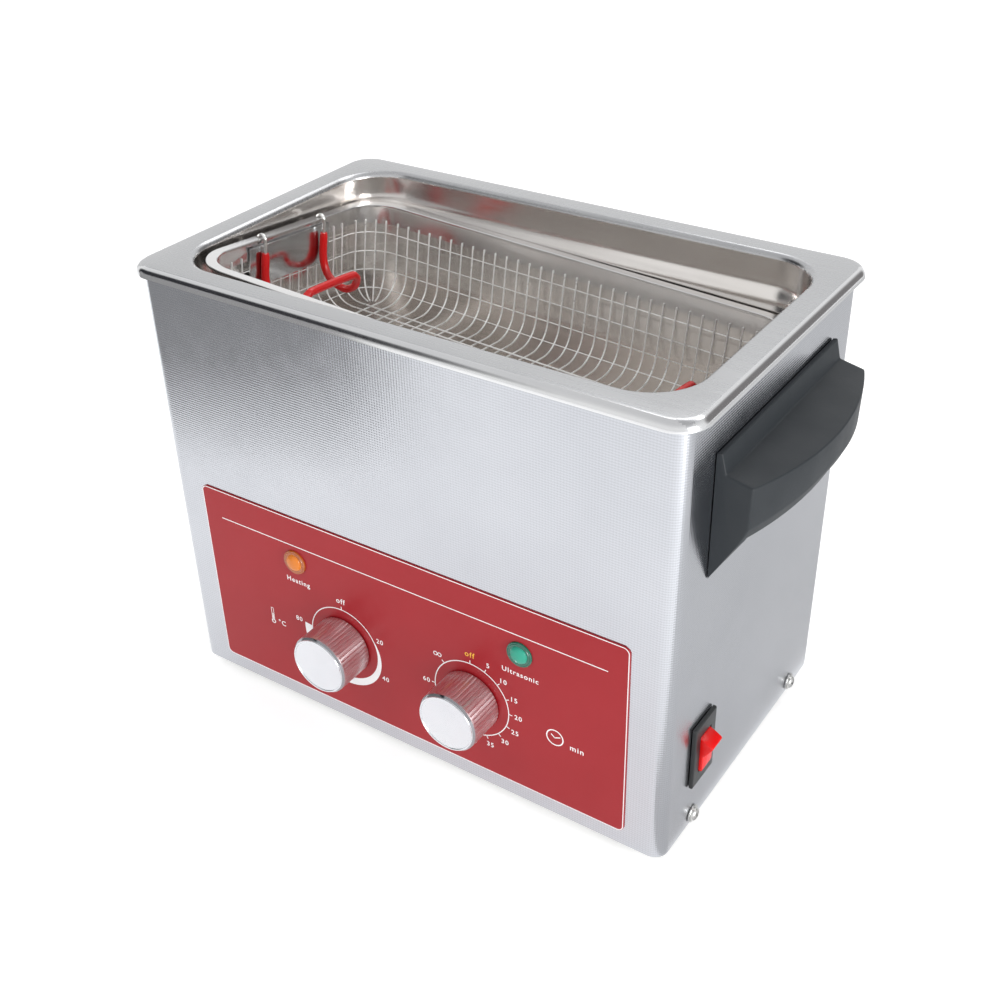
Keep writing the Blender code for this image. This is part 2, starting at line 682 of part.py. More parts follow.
def handle_section(y, wall, lowest):
    """The outline in X and Z of the handle's outside, at one place along it."""
    edge = handle_edge(y)
    lip = HANDLE_LIP - HANDLE_LIP_DROP * abs(y) / HANDLE_HALF_Y
    outline = [(wall, 183.3), (130.3, 183.8), (132.3, 175.6), (edge, 173.3)]
    outline += [(edge - 0.4, lip), (edge - 3.4, lip - 7.0), (wall, lowest)]
    return [Vector((x, y, FOOT_HEIGHT + height)) for x, height in outline]


def handle_hollow(y):
    """The outline in X and Z of the space for the fingers, open below."""
    edge = handle_edge(y) - HANDLE_WALL
    wall = HOUSING_HALF_X + GAP + HANDLE_WALL
    outline = [(wall, 172.0), (wall + 2.0, 172.6), (edge - 2.0, 170.9)]
    outline += [(edge, 169.0), (edge, 120), (wall, 120)]
    return [Vector((x, y, FOOT_HEIGHT + height)) for x, height in outline]


def make_handle(side, turn, parent, materials):
    """A handle modelled at the right-hand wall, then turned about the housing's middle."""
    wall = HOUSING_HALF_X + GAP
    inner = HANDLE_HALF_Y - HANDLE_CHEEK
    places = [0, 14, 27, 38, inner - 1.2, inner + 0.8, HANDLE_HALF_Y]
    places = [-y for y in places[:0:-1]] + places
    sections = []
    for y in places:
        lowest = HANDLE_CHEEK_LOW if abs(y) >= inner else HANDLE_LOW
        sections.append(handle_section(y, wall, lowest))
    hollow = [handle_hollow(y) for y in (-inner, -33, -20, -7, 7, 20, 33, inner)]
    cutters = [skin(hollow)]
    for y in (-HANDLE_SCREW_Y, HANDLE_SCREW_Y):
        cutters.append(rod(1.9, (wall - 2, y, HANDLE_SCREW_Z), (wall + 4, y, HANDLE_SCREW_Z), 10))
    mesh = cut(skin(sections), cutters)
    mesh.transform(Matrix.Rotation(math.radians(turn), 4, "Z"))
    finish(f"carry_handle_{side}", mesh, materials["handle_plastic"], parent)


def make_handle_screws(parent, materials):
    """Screws from inside the housing into the handles."""
    profile = [(0, -4.0), (3.0, -4.0), (3.3, -2.0), (1.6, -2.0), (1.6, 3.2), (0, 3.2)]
    for side, facing in (("left", -RIGHT), ("right", RIGHT)):
        for end, y in (("front", -HANDLE_SCREW_Y), ("rear", HANDLE_SCREW_Y)):
            mesh = turned(profile, 8)
            mesh.transform(UP.rotation_difference(facing).to_matrix().to_4x4())
            place = (facing.x * (HOUSING_HALF_X - GAP + 0.6), y, HANDLE_SCREW_Z)
            finish(f"handle_screw_{side}_{end}", mesh, materials["zinc_steel"], parent, place)


# ---------------------------------------------------------------- basket and bails

def make_basket(seat, materials):
    """The basket's rim, mesh and end plates, about the middle of its rim's upper face."""
    under = -FLANGE_THICKNESS
    rings = [rounded_ring(*row) for row in (
        (114.5, 63.0, 20.0, 0), (114.5, 63.0, 20.0, under),
        (113.1, 59.4, 17.0, under), (113.1, 59.4, 17.0, -BAND_DEPTH),
        (112.3, 58.6, 16.2, -BAND_DEPTH), (112.3, 58.6, 16.2, under),
        (110.0, 58.2, 15.8, under), (110.0, 58.2, 15.8, 0))]
    slots = []
    for side in (-1, 1):
        for y in (-BAIL_HALF_Y, BAIL_HALF_Y):
            near, far = sorted((side * (PIVOT_X + 0.6), side * (PIVOT_X + 3.0)))
            slots.append(block((near, y - 1.2, -3.6), (far, y + 1.2, 2)))
    finish("basket_flange", cut(skin(rings, loop=True), slots), materials["polished_steel"], seat)

    def tray(inset):
        rings = []
        for angle in quarter(ROUNDING_STEPS):
            reach = BASKET_FILLET * (1 - math.sin(angle)) + inset
            height = -BASKET_DEPTH + inset + BASKET_FILLET * (1 - math.cos(angle))
            rings.append(rounded_ring(113.1 - reach, 59.4 - reach, 17.0 - reach, height))
        rings.append(rounded_ring(113.1 - inset, 59.4 - inset, 17.0 - inset, -BAND_DEPTH - GAP))
        return rings
    finish("basket_mesh", skin(tray(0) + tray(MESH_WALL)[::-1]), materials["polished_steel"], seat)

    for name, side in (("left", -1), ("right", 1)):
        near, far = sorted((side * 112.0, side * 111.2))
        plate = block((near, -27, -22), (far, 27, -3.8))
        finish(f"basket_end_plate_{name}", plate, materials["polished_steel"], seat)


def bail_path():
    """A bail's centre line as (inward, along, up) from its pivot line, from hook to hook."""
    hook = []
    for step in range(HOOK_STEPS + 1):
        angle = math.radians(HOOK_TURN * (1 - step / HOOK_STEPS))
        hook.append(Vector((HOOK_RADIUS * math.cos(angle), 0, HOOK_RADIUS * math.sin(angle))))
    leg = [(HOOK_RADIUS, -6.0), (HOOK_RADIUS, -19.0), (5.6, -26.8), (14.0, -30.2), (20.2, -27.8)]
    half = [(inward, -BAIL_HALF_Y, up) for inward, up in leg]
    half += [(22.7, -BAIL_HALF_Y + 0.8, -23.4), (23.6, -BAIL_HALF_Y + 3.6, -20.6)]
    half += [(23.8, -BAIL_HALF_Y + 8.0, -19.6)]
    whole = half + [(inward, -along, up) for inward, along, up in half[::-1]]
    grip = smooth_path(whole, 2)
    near = [point + Vector((0, -BAIL_HALF_Y, 0)) for point in hook]
    far = [point + Vector((0, BAIL_HALF_Y, 0)) for point in hook[::-1]]
    return near, grip, far


def make_bail(name, side, seat, materials):
    near, grip, far = bail_path()
    wire = tube(near + grip + far, BAIL_WIRE, 6)
    sleeve = tube(grip, SLEEVE_RADIUS, 6, SLEEVE_BORE)
    for suffix, mesh, colour in (("wire", wire, "polished_steel"), ("sleeve", sleeve, "red_plastic")):
        if side > 0:
            mesh = mirrored(mesh)
        place = (side * PIVOT_X, 0, -FLANGE_THICKNESS / 2)
        finish(f"{name}_bail_{suffix}", mesh, materials[colour], seat, place)


# ---------------------------------------------------------------- inside the housing

def make_transducer(name, x, parent, materials):
    """A bolt-clamped transducer hung under the tank's floor."""
    top = RIM_TOP - TANK_DEPTH - SHEET - GAP
    bore = 3.8
    pieces = [
        ("front_mass", [(0, 0), (29, 0), (29, -4), (20, -22), (bore, -22), (bore, -12), (0, -12)],
         "transducer_aluminium", False),
        ("piezo", [(19, -22.3), (19, -33), (bore, -33), (bore, -22.3)], "piezo_ceramic", True),
        ("back_mass", [(20, -33.3), (20, -55), (bore, -55), (bore, -33.3)], "steel_dark", True),
        ("bolt", [(0, -13), (3.4, -13), (3.4, -55.3), (6, -55.3), (6, -60), (0, -60)], "zinc_steel", False),
    ]
    for suffix, profile, colour, loop in pieces:
        segments = 6 if suffix == "bolt" else 16
        mesh = turned(profile, segments, loop)
        finish(f"transducer_{name}_{suffix}", mesh, materials[colour], parent, (x, TRANSDUCER_Y, top))


def make_heaters(parent, materials):
    """Heating mats bonded to the tank's long walls."""
    wall = LOWER_HALF_X - RIM_HALF_X + RIM_HALF_Y + SHEET + GAP
    for name, side in (("front", -1), ("rear", 1)):
        near, far = sorted((side * wall, side * (wall + 1.5)))
        mesh = block((-85, near, RIM_TOP - 76), (85, far, RIM_TOP - 30), 0.4)
        finish(f"heater_mat_{name}", mesh, materials["heater_rubber"], parent)


def make_thermostat_bulb(parent, materials):
    """The capillary from the thermostat to its bulb beside the tank's left wall."""
    wall = -(LOWER_HALF_X + SHEET + GAP + 3.2)
    x, z = TEMPERATURE_DIAL[0], FOOT_HEIGHT + TEMPERATURE_DIAL[1]
    back = -HOUSING_HALF_Y + HOUSING_SHEET + 3 * GAP + THERMOSTAT_SIZE[1]
    path = smooth_path([(x, back, z), (x, back + 5, z), (-48, -34, 55), (-80, -36, 66), (-108, -42, 84),
                        (wall, -44, 112), (wall, -38, 138), (wall, -28, 142)], 2)
    radii = [0.9] * len(path)
    path += [Vector((wall, y, 142)) for y in (-26, 24, 26)]
    radii[-1] = 1.5
    radii += [3.0, 3.0, 1.5]
    finish("thermostat_bulb", skin(path_rings(path, radii, 6)), materials["copper"], parent)


def make_generator(parent, materials):
    """The board that drives the transducers, with its large components."""
    x, y = BOARD_CENTRE
    width, depth, thickness = BOARD_SIZE
    low = FOOT_HEIGHT + PILLAR_TOP + GAP
    board = block((x - width / 2, y - depth / 2, low), (x + width / 2, y + depth / 2, low + thickness))
    finish("generator_board", board, materials["board_green"], parent)
    top = low + thickness + GAP
    core = block((x - 58, y - 24, top), (x - 22, y + 8, top + 26), 1.0)
    finish("generator_transformer", core, materials["ferrite"], parent)
    can = turned([(0, 0), (9, 0), (9, 24), (8, 25), (0, 25)], 20)
    finish("generator_capacitor", can, materials["capacitor_blue"], parent, (x + 2, y + 16, top))
    outline = [(x + 22, top), (x + 58, top), (x + 58, top + 4)]
    for fin in range(6):
        left = x + 56 - 6.4 * fin
        outline += [(left + 2, top + 28), (left, top + 28), (left, top + 4)]
        if fin < 5:
            outline.append((left - 4.4, top + 4))
    outline.append((x + 22, top + 4))
    heatsink = prism(outline, y - 26, y + 4)
    finish("generator_heatsink", heatsink, materials["transducer_aluminium"], parent)


def make_inlet(parent, materials):
    """A mains inlet in the back wall: a shrouded socket with three blades."""
    outside = HOUSING_HALF_Y + GAP
    flange = prism(rounded_outline(INLET_X - 16, INLET_X + 16, INLET_Z - 12.5, INLET_Z + 12.5, 3),
                   outside, outside + 2.4)
    barrel = block((INLET_X - 13.6, 55, INLET_Z - 10.1), (INLET_X + 13.6, outside + 1, INLET_Z + 10.1))
    shell = joined(flange, [barrel])
    outline = [(-12.2, -8.3), (12.2, -8.3), (12.2, 3.6), (7.6, 8.3), (-7.6, 8.3), (-12.2, 3.6)]
    outline = [(INLET_X + x, INLET_Z + z) for x, z in outline]
    tools = [prism(outline, outside - 14.5, outside + 6)]
    blades = {"line": (-7, -1), "neutral": (7, -1), "earth": (0, 3.2)}
    for x, z in blades.values():
        tools.append(block((INLET_X + x - 1.3, 50, INLET_Z + z - 2.3),
                           (INLET_X + x + 1.3, 68, INLET_Z + z + 2.3)))
    finish("mains_inlet", cut(shell, tools), materials["black_plastic"], parent)
    for name, (x, z) in blades.items():
        blade = block((INLET_X + x - 1, 48, INLET_Z + z - 2),
                      (INLET_X + x + 1, outside - 0.6, INLET_Z + z + 2), 0.3)
        finish(f"inlet_blade_{name}", blade, materials["brass_pin"], parent)


def make_wires(parent, materials):
    """The sleeved leads from the inlet to the switch, and from the board to a transducer."""
    mains = smooth_path([(INLET_X, 46.5, INLET_Z - 4), (INLET_X + 4, 34, 27), (98, 18, 22), (100, -10, 20),
                         (93, -34, 27), (87, -44, 38), (90, SWITCH_Y, SWITCH_Z - 1),
                         (SWITCH_BACK_X - 0.5, SWITCH_Y, SWITCH_Z)], 2)
    finish("mains_lead", tube(mains, 2.6, 6), materials["wire_black"], parent)
    edge = BOARD_CENTRE[0] + BOARD_SIZE[0] / 2
    drive = smooth_path([(edge + 0.5, 30, 17), (edge + 12, 30, 19), (edge + 19, 26, 36),
                         (TRANSDUCER_X + 30, 20, 62), (TRANSDUCER_X + 26, 14, 82),
                         (TRANSDUCER_X + 19.6, TRANSDUCER_Y, 84.5)], 2)
    finish("transducer_lead", tube(drive, 1.5, 6), materials["wire_red"], parent)


# ---------------------------------------------------------------- assembly

def basket_turn():
    """The turn that lays the basket's rim in its sloping plane."""
    normal = Vector((-BASKET_SLOPE_X, -BASKET_SLOPE_Y, 1)).normalized()
    along = Vector((1, 0, BASKET_SLOPE_X)).normalized()
    across = normal.cross(along)
    return Matrix((along, across, normal)).transposed()


def build():
    for item in list(bpy.data.objects):
        bpy.data.objects.remove(item, do_unlink=True)
    materials = make_materials()
    cleaner = empty("cleaner", (0, CENTRE_SHIFT, 0))
    make_tank(cleaner, materials)
    make_housing(cleaner, materials)
    make_gasket(cleaner, materials)
    make_base(cleaner, materials)
    make_feet(cleaner, materials)
    make_side_screws(cleaner, materials)

    make_label(cleaner, materials)
    make_control("thermostat_body", TEMPERATURE_DIAL, THERMOSTAT_SIZE, "thermostat_cream", cleaner, materials)
    make_control("timer_body", TIMER_DIAL, TIMER_SIZE, "black_plastic", cleaner, materials)
    make_shaft("temperature_shaft", TEMPERATURE_DIAL, cleaner, materials)
    make_shaft("timer_shaft", TIMER_DIAL, cleaner, materials)
    make_knob("temperature_knob", TEMPERATURE_DIAL, cleaner, materials)
    make_knob("timer_knob", TIMER_DIAL, cleaner, materials)
    make_lamp("heating_lamp", HEATING_LAMP, "amber_lens", cleaner, materials)
    make_lamp("ultrasonic_lamp", ULTRASONIC_LAMP, "green_lens", cleaner, materials)
    make_switch(cleaner, materials)

    make_handle("left", 180, cleaner, materials)
    make_handle("right", 0, cleaner, materials)
    make_handle_screws(cleaner, materials)

    seat = empty("basket_seat", (0, 0, BASKET_SEAT), cleaner)
    seat.rotation_euler = basket_turn().to_euler()
    make_basket(seat, materials)
    make_bail("left", -1, seat, materials)
    make_bail("right", 1, seat, materials)

    make_transducer("left", -TRANSDUCER_X, cleaner, materials)
    make_transducer("right", TRANSDUCER_X, cleaner, materials)
    make_heaters(cleaner, materials)
    make_thermostat_bulb(cleaner, materials)
    make_generator(cleaner, materials)
    make_inlet(cleaner, materials)
    make_wires(cleaner, materials)


build()
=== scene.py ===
"""Looks of the table-top ultrasonic cleaner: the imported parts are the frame, and finer pieces stand for them.

Sizes below are in millimetres about the housing's middle, and finish_piece() turns them into metres in the
frame. Every piece keeps its origin at the frame's origin, so material coordinates are metres in the frame.
"""

import json
import math

import bmesh
import bpy
from mathutils import Matrix, Vector


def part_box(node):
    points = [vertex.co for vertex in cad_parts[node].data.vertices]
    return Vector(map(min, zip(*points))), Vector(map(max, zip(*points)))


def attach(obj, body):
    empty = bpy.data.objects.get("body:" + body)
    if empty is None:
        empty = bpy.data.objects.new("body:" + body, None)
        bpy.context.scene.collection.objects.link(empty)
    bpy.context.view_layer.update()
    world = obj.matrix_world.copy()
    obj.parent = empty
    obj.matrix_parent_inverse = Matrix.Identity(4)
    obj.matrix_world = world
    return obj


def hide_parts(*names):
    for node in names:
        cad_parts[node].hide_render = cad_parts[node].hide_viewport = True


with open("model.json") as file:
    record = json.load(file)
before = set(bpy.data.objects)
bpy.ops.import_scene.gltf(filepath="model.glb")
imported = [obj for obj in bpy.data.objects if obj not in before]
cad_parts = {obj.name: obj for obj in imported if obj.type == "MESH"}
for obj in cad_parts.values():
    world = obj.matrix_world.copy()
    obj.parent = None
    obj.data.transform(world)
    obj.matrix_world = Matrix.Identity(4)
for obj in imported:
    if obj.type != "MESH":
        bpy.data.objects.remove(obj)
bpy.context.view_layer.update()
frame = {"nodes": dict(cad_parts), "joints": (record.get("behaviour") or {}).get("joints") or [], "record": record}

MM = 0.001
UP = Vector((0, 0, 1))
FRONT = Vector((0, -1, 0))
RIGHT = Vector((1, 0, 0))
ZERO = Vector((0, 0, 0))
TO_FRONT = UP.rotation_difference(FRONT).to_matrix().to_4x4()
JOINTS = {joint["name"]: joint for joint in frame["joints"]}


def box_mm(node):
    """A node's lowest and highest corners, in millimetres about the housing's middle."""
    low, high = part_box(node)
    return low / MM - SHIFT, high / MM - SHIFT


def joint_mm(name):
    return Vector(JOINTS[name]["pos_m"]) / MM - SHIFT


# the housing's middle, from the frame's origin
SHIFT = Vector((0, (sum(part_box("housing_shell"), ZERO) / MM).y / 2, 0))
SHELL_LOW, SHELL_HIGH = box_mm("housing_shell")
TANK_HIGH = box_mm("tank")[1]
LABEL_LOW, LABEL_HIGH = box_mm("control_label")
HANDLE_LOW, HANDLE_HIGH = box_mm("carry_handle_right")
FRAME_LOW, FRAME_HIGH = box_mm("switch_frame")

FOOT_HEIGHT = SHELL_LOW.z
RIM_TOP = TANK_HIGH.z
RIM_HALF_X = TANK_HIGH.x
RIM_HALF_Y = TANK_HIGH.y
HOUSING_HALF_X = SHELL_HIGH.x
HOUSING_HALF_Y = SHELL_HIGH.y
HOUSING_TOP = SHELL_HIGH.z
PANEL_Y = LABEL_LOW.y
GAP = 0.3  # between the housing and what is fixed to its side


# ------------------------ shapes

def skin(rings, loop=False):
    """A mesh through a row of rings. A ring of one point is a tip."""
    mesh = bmesh.new()
    rows = [[mesh.verts.new(point) for point in ring] for ring in rings]
    pairs = list(zip(rows, rows[1:]))
    if loop:
        pairs.append((rows[-1], rows[0]))
    for low, high in pairs:
        count = max(len(low), len(high))
        for first in range(count):
            second = (first + 1) % count
            corners = [low[first % len(low)], low[second % len(low)]]
            corners += [high[second % len(high)], high[first % len(high)]]
            mesh.faces.new(list(dict.fromkeys(corners)))
    if not loop:
        for row in (rows[0], rows[-1]):
            if len(row) > 2:
                mesh.faces.new(row)
    bmesh.ops.recalc_face_normals(mesh, faces=mesh.faces)
    return mesh


def rounded_ring(half_x, half_y, corner, z, steps=12, straight=1):
    """Points round a rounded rectangle in a level plane."""
    points = []
    for quarter_turn, (side_x, side_y) in enumerate(((1, 1), (-1, 1), (-1, -1), (1, -1))):
        centre = Vector((side_x * (half_x - corner), side_y * (half_y - corner), z))
        for step in range(steps + 1):
            angle = math.radians(90 * (quarter_turn + step / steps))
            points.append(centre + corner * Vector((math.cos(angle), math.sin(angle), 0)))
    if straight == 1:
        return points
    filled = []
    for index, point in enumerate(points):
        filled.append(point)
        ahead = points[(index + 1) % len(points)]
        if (index + 1) % (steps + 1) == 0:
            filled += [point.lerp(ahead, step / straight) for step in range(1, straight)]
    return filled


def turned(profile, segments=48, loop=False):
    """A turned solid about +Z from (radius, height) pairs."""
    rings = []
    for radius, height in profile:
        if radius == 0:
            rings.append([Vector((0, 0, height))])
            continue
        angles = [2 * math.pi * step / segments for step in range(segments)]
        rings.append([Vector((radius * math.cos(a), radius * math.sin(a), height)) for a in angles])
    return skin(rings, loop)


def bevel(mesh, edges, width, segments=3):
    bmesh.ops.bevel(mesh, geom=edges, offset=width, segments=segments, affect="EDGES", profile=0.5)


def sharp_edges(mesh, angle):
    """The edges that turn by more than an angle in degrees."""
    return [edge for edge in mesh.edges if len(edge.link_faces) == 2
            and edge.calc_face_angle(0) > math.radians(angle)]


def block(low, high, rounding=0.0):
    low, high = Vector(low), Vector(high)
    mesh = bmesh.new()
    bmesh.ops.create_cube(mesh, size=1)
    size = Matrix.Diagonal((*(high - low), 1))
    mesh.transform(Matrix.Translation((low + high) / 2) @ size)
    if rounding:
        bevel(mesh, mesh.edges[:], rounding, 2)
    return mesh


def smooth_path(points, steps):
    """A curve through every point."""
    points = [Vector(point) for point in points]
    padded = [2 * points[0] - points[1]] + points + [2 * points[-1] - points[-2]]
    path = []
    for before, start, end, after in zip(padded, padded[1:], padded[2:], padded[3:]):
        for step in range(steps):
            t = step / steps
            path.append(0.5 * (2 * start + (end - before) * t
                               + (2 * before - 5 * start + 4 * end - after) * t ** 2
                               + (3 * start - before - 3 * end + after) * t ** 3))
    path.append(points[-1])
    return path


def circle(centre, radius, first, second, sides):
    """Points round a circle in the plane of two directions."""
    angles = [2 * math.pi * side / sides for side in range(sides)]
    return [centre + radius * (math.cos(a) * first + math.sin(a) * second) for a in angles]


def path_rings(path, radii, sides):
    """Circles across a path, each turned as little as possible from the one before."""
    rings = []
    normal = None
    for index, point in enumerate(path):
        ahead = path[min(index + 1, len(path) - 1)]
        behind = path[max(index - 1, 0)]
        tangent = (ahead - behind).normalized()
        if normal is None:
            normal = tangent.orthogonal()
        normal = (normal - tangent * normal.dot(tangent)).normalized()
        rings.append(circle(point, radii[index], normal, tangent.cross(normal), sides))
    return rings


def bar(path, radius, sides):
    """A round bar along a path."""
    return skin(path_rings(path, [radius] * len(path), sides))


def hoop(path, radius, sides):
    """A round bar along a closed path that is nearly level."""
    rings = []
    for index, point in enumerate(path):
        tangent = (path[(index + 1) % len(path)] - path[index - 1]).normalized()
        rings.append(circle(point, radius, UP, tangent.cross(UP).normalized(), sides))
    return skin(rings, loop=True)


def mesh_data(name, mesh):
    """Mesh data from a mesh under edit, which is freed."""
    data = bpy.data.meshes.new(name)
    mesh.to_mesh(data)
    mesh.free()
    return data


def linked(name, data):
    """An object in the scene that holds the data."""
    item = bpy.data.objects.new(name, data)
    bpy.context.scene.collection.objects.link(item)
    return item


def gathered(meshes):
    """One mesh that holds several, which are freed."""
    whole = bmesh.new()
    for mesh in meshes:
        data = mesh_data("part", mesh)
        whole.from_mesh(data)
        bpy.data.meshes.remove(data)
    return whole


def mirrored(mesh):
    mesh.transform(Matrix.Diagonal((-1, 1, 1, 1)))
    bmesh.ops.reverse_faces(mesh, faces=mesh.faces)
    return mesh


def cut(base, tools):
    """The base mesh less the tools, which are freed."""
    body, tool = (linked("part", mesh_data("part", mesh)) for mesh in (base, gathered(tools)))
    modifier = body.modifiers.new("cut", "BOOLEAN")
    modifier.operation = "DIFFERENCE"
    modifier.solver = "EXACT"
    modifier.use_self = True
    modifier.object = tool
    bpy.context.view_layer.update()
    result = bmesh.new()
    result.from_mesh(body.evaluated_get(bpy.context.evaluated_depsgraph_get()).data)
    for item in (body, tool):
        data = item.data
        bpy.data.objects.remove(item)
        bpy.data.meshes.remove(data)
    return result


def finish_piece(name, mesh, material, body, nodes=(), place=ZERO, sharp=32):
    """Turn a millimetre mesh into a piece that rides on a body and stands for CAD nodes.

    The material is a key of MATERIALS, and edges that turn by more than sharp degrees stay crisp.
    """
    mesh.transform(Matrix.Diagonal((MM, MM, MM, 1)) @ Matrix.Translation(SHIFT + Vector(place)))
    data = mesh_data(name, mesh)
    data.shade_smooth()
    data.set_sharp_from_angle(angle=math.radians(sharp))
    data.materials.append(MATERIALS[material])
    item = linked(name, data)
    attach(item, body)
    if nodes:
        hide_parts(*nodes)
    return item


def paint(item, materials, choose):
    """Add materials, and let choose tell from a face's centre which one it has: 0 is the first."""
    for material in materials:
        item.data.materials.append(MATERIALS[material])
    for face in item.data.polygons:
        face.material_index = choose(face.center / MM - SHIFT)


# ------------------------ materials

MATERIALS = {}


def add_node(tree, kind, inputs=None, **settings):
    """A node with its settings made, and each input linked if it is a socket and set if not."""
    node = tree.nodes.new(kind)
    for key, value in settings.items():
        setattr(node, key, value)
    for key, value in (inputs or {}).items():
        if isinstance(value, bpy.types.NodeSocket):
            tree.links.new(value, node.inputs[key])
        else:
            node.inputs[key].default_value = value
    return node


def mixed(tree, factor, first, second):
    """A mix of two colours, each a socket or a constant."""
    ends = [end if isinstance(end, bpy.types.NodeSocket) else (*end, 1) for end in (first, second)]
    return add_node(tree, "ShaderNodeMix", {0: factor, 6: ends[0], 7: ends[1]}, data_type="RGBA").outputs[2]


class Finish:
    """A node material, kept in MATERIALS under its name."""

    def __init__(self, name, **constants):
        material = MATERIALS[name] = bpy.data.materials.new(name)
        material.use_nodes = True
        self.tree = material.node_tree
        self.shader = self.tree.nodes["Principled BSDF"]
        for socket, value in constants.items():
            self.shader.inputs[socket.replace("_", " ")].default_value = value
        self.position = self.add("ShaderNodeTexCoord").outputs["Object"]

    def add(self, kind, inputs=None, **settings):
        return add_node(self.tree, kind, inputs, **settings)

    def math(self, operation, first, second=0.0, third=0.0):
        return self.add("ShaderNodeMath", {0: first, 1: second, 2: third}, operation=operation).outputs[0]

    def stretched(self, scale):
        """The position times a scale along each axis."""
        return self.add("ShaderNodeMapping", {"Vector": self.position, "Scale": scale}).outputs[0]

    def noise(self, scale, detail=3.0, rough=0.55, vector=None):
        return self.add("ShaderNodeTexNoise", {"Vector": vector or self.position, "Scale": scale,
                                               "Detail": detail, "Roughness": rough}).outputs["Fac"]

    def spread(self, value, low, high, start=0.3, end=0.7):
        """A value that runs from start to end, made to run from low to high."""
        return self.add("ShaderNodeMapRange", {"Value": value, "From Min": start, "From Max": end,
                                               "To Min": low, "To Max": high}).outputs["Result"]

    def blend(self, factor, first, second):
        return mixed(self.tree, factor, first, second)

    def tones(self, scale, detail, first, second):
        """Two colours in soft patches."""
        return self.blend(self.spread(self.noise(scale, detail), 0, 1), first, second)

    def colour(self, value):
        self.tree.links.new(value, self.shader.inputs["Base Color"])

    def roughness(self, value):
        self.tree.links.new(value, self.shader.inputs["Roughness"])

    def bump(self, height, distance):
        """Add to the surface's relief, in metres."""
        normal = self.shader.inputs["Normal"]
        inputs = {"Height": height, "Distance": distance, "Strength": 1.0}
        if normal.links:
            inputs["Normal"] = normal.links[0].from_socket
        self.tree.links.new(self.add("ShaderNodeBump", inputs).outputs[0], normal)

    def fan(self):
        """Make an anisotropic highlight fan out about a knob's axis."""
        tangent = self.add("ShaderNodeTangent", direction_type="RADIAL", axis="Y")
        self.tree.links.new(tangent.outputs[0], self.shader.inputs["Tangent"])


def metal(name, first, second, rough, relief=0.0, grain=(1, 1, 1), grain_scale=400, **constants):
    """Bare metal: two tones in soft patches, and uneven roughness in a grain that may be stretched."""
    finish = Finish(name, **{"Metallic": 1.0, **constants})
    finish.colour(finish.tones(22, 4, first, second))
    lines = finish.noise(grain_scale, 5, 0.65, finish.stretched(grain))
    finish.roughness(finish.spread(lines, rough[0], rough[1]))
    if relief:
        finish.bump(lines, relief)
    return finish


def plastic(name, first, second, rough, relief=0.0, grain=1500, **constants):
    """Moulded plastic or rubber: a fine texture, and a colour that drifts slightly."""
    finish = Finish(name, **constants)
    finish.colour(finish.tones(35, 3, first, second))
    finish.roughness(finish.spread(finish.noise(60, 4), rough[0], rough[1]))
    if relief:
        finish.bump(finish.noise(grain, 2), relief)
    return finish


LINEN_PITCH = (1.3, 1.15)  # along the sheet and up it
LINEN_DEPTH = 0.012
LINEN_SHARE = 0.55  # the height of the waves along the sheet, next to those up it
LINEN_TONES = ((0.545, 0.56, 0.595), (0.59, 0.605, 0.64))


def linen_steel():
    """Stainless sheet embossed with fine crossed waves, with painted shade that darkens the low parts of the
    waves.
    """
    finish = Finish("linen_steel", Metallic=1.0)
    steel = finish.tones(14, 3, *LINEN_TONES)
    finish.roughness(finish.spread(finish.noise(90, 3), 0.17, 0.23))
    axes = finish.add("ShaderNodeSeparateXYZ", {0: finish.position})
    along = finish.math("ADD", axes.outputs[0], axes.outputs[1])
    waves = []
    for way, pitch in zip((along, axes.outputs[2]), LINEN_PITCH):
        waves.append(finish.math("SINE", finish.math("MULTIPLY", way, 2 * math.pi / (pitch * MM))))
    weave = finish.math("MULTIPLY_ADD", waves[0], LINEN_SHARE, waves[1])
    # painted shade: the low parts of the embossing are mixed towards black
    hollow_shade = finish.blend(0.87, (0.0, 0.0, 0.0), steel)
    finish.colour(finish.blend(finish.spread(weave, 0, 1, -1.0, 0.8), hollow_shade, steel))
    finish.bump(weave, LINEN_DEPTH * MM)
    finish.bump(finish.noise(9, 2), 0.0003)


def spun_aluminium(name, centre):
    """Fine rings about a knob's axis, and a highlight that fans out."""
    finish = metal(name, (0.71, 0.74, 0.775), (0.76, 0.79, 0.815), (0.20, 0.28), Anisotropic=0.75,
                   Anisotropic_Rotation=0.25)
    kind = "ShaderNodeVectorMath"
    middle = [-value * MM for value in centre + SHIFT]
    about = finish.add(kind, {0: finish.position, 1: middle}, operation="ADD").outputs[0]
    flat = finish.add(kind, {0: about, 1: (1, 0, 1)}, operation="MULTIPLY").outputs[0]
    radius = finish.add(kind, {0: flat}, operation="LENGTH").outputs["Value"]
    rings = finish.add("ShaderNodeTexNoise", {"W": radius, "Scale": 9000.0, "Detail": 2.0},
                       noise_dimensions="1D")
    finish.bump(rings.outputs["Fac"], 0.000012)
    finish.fan()


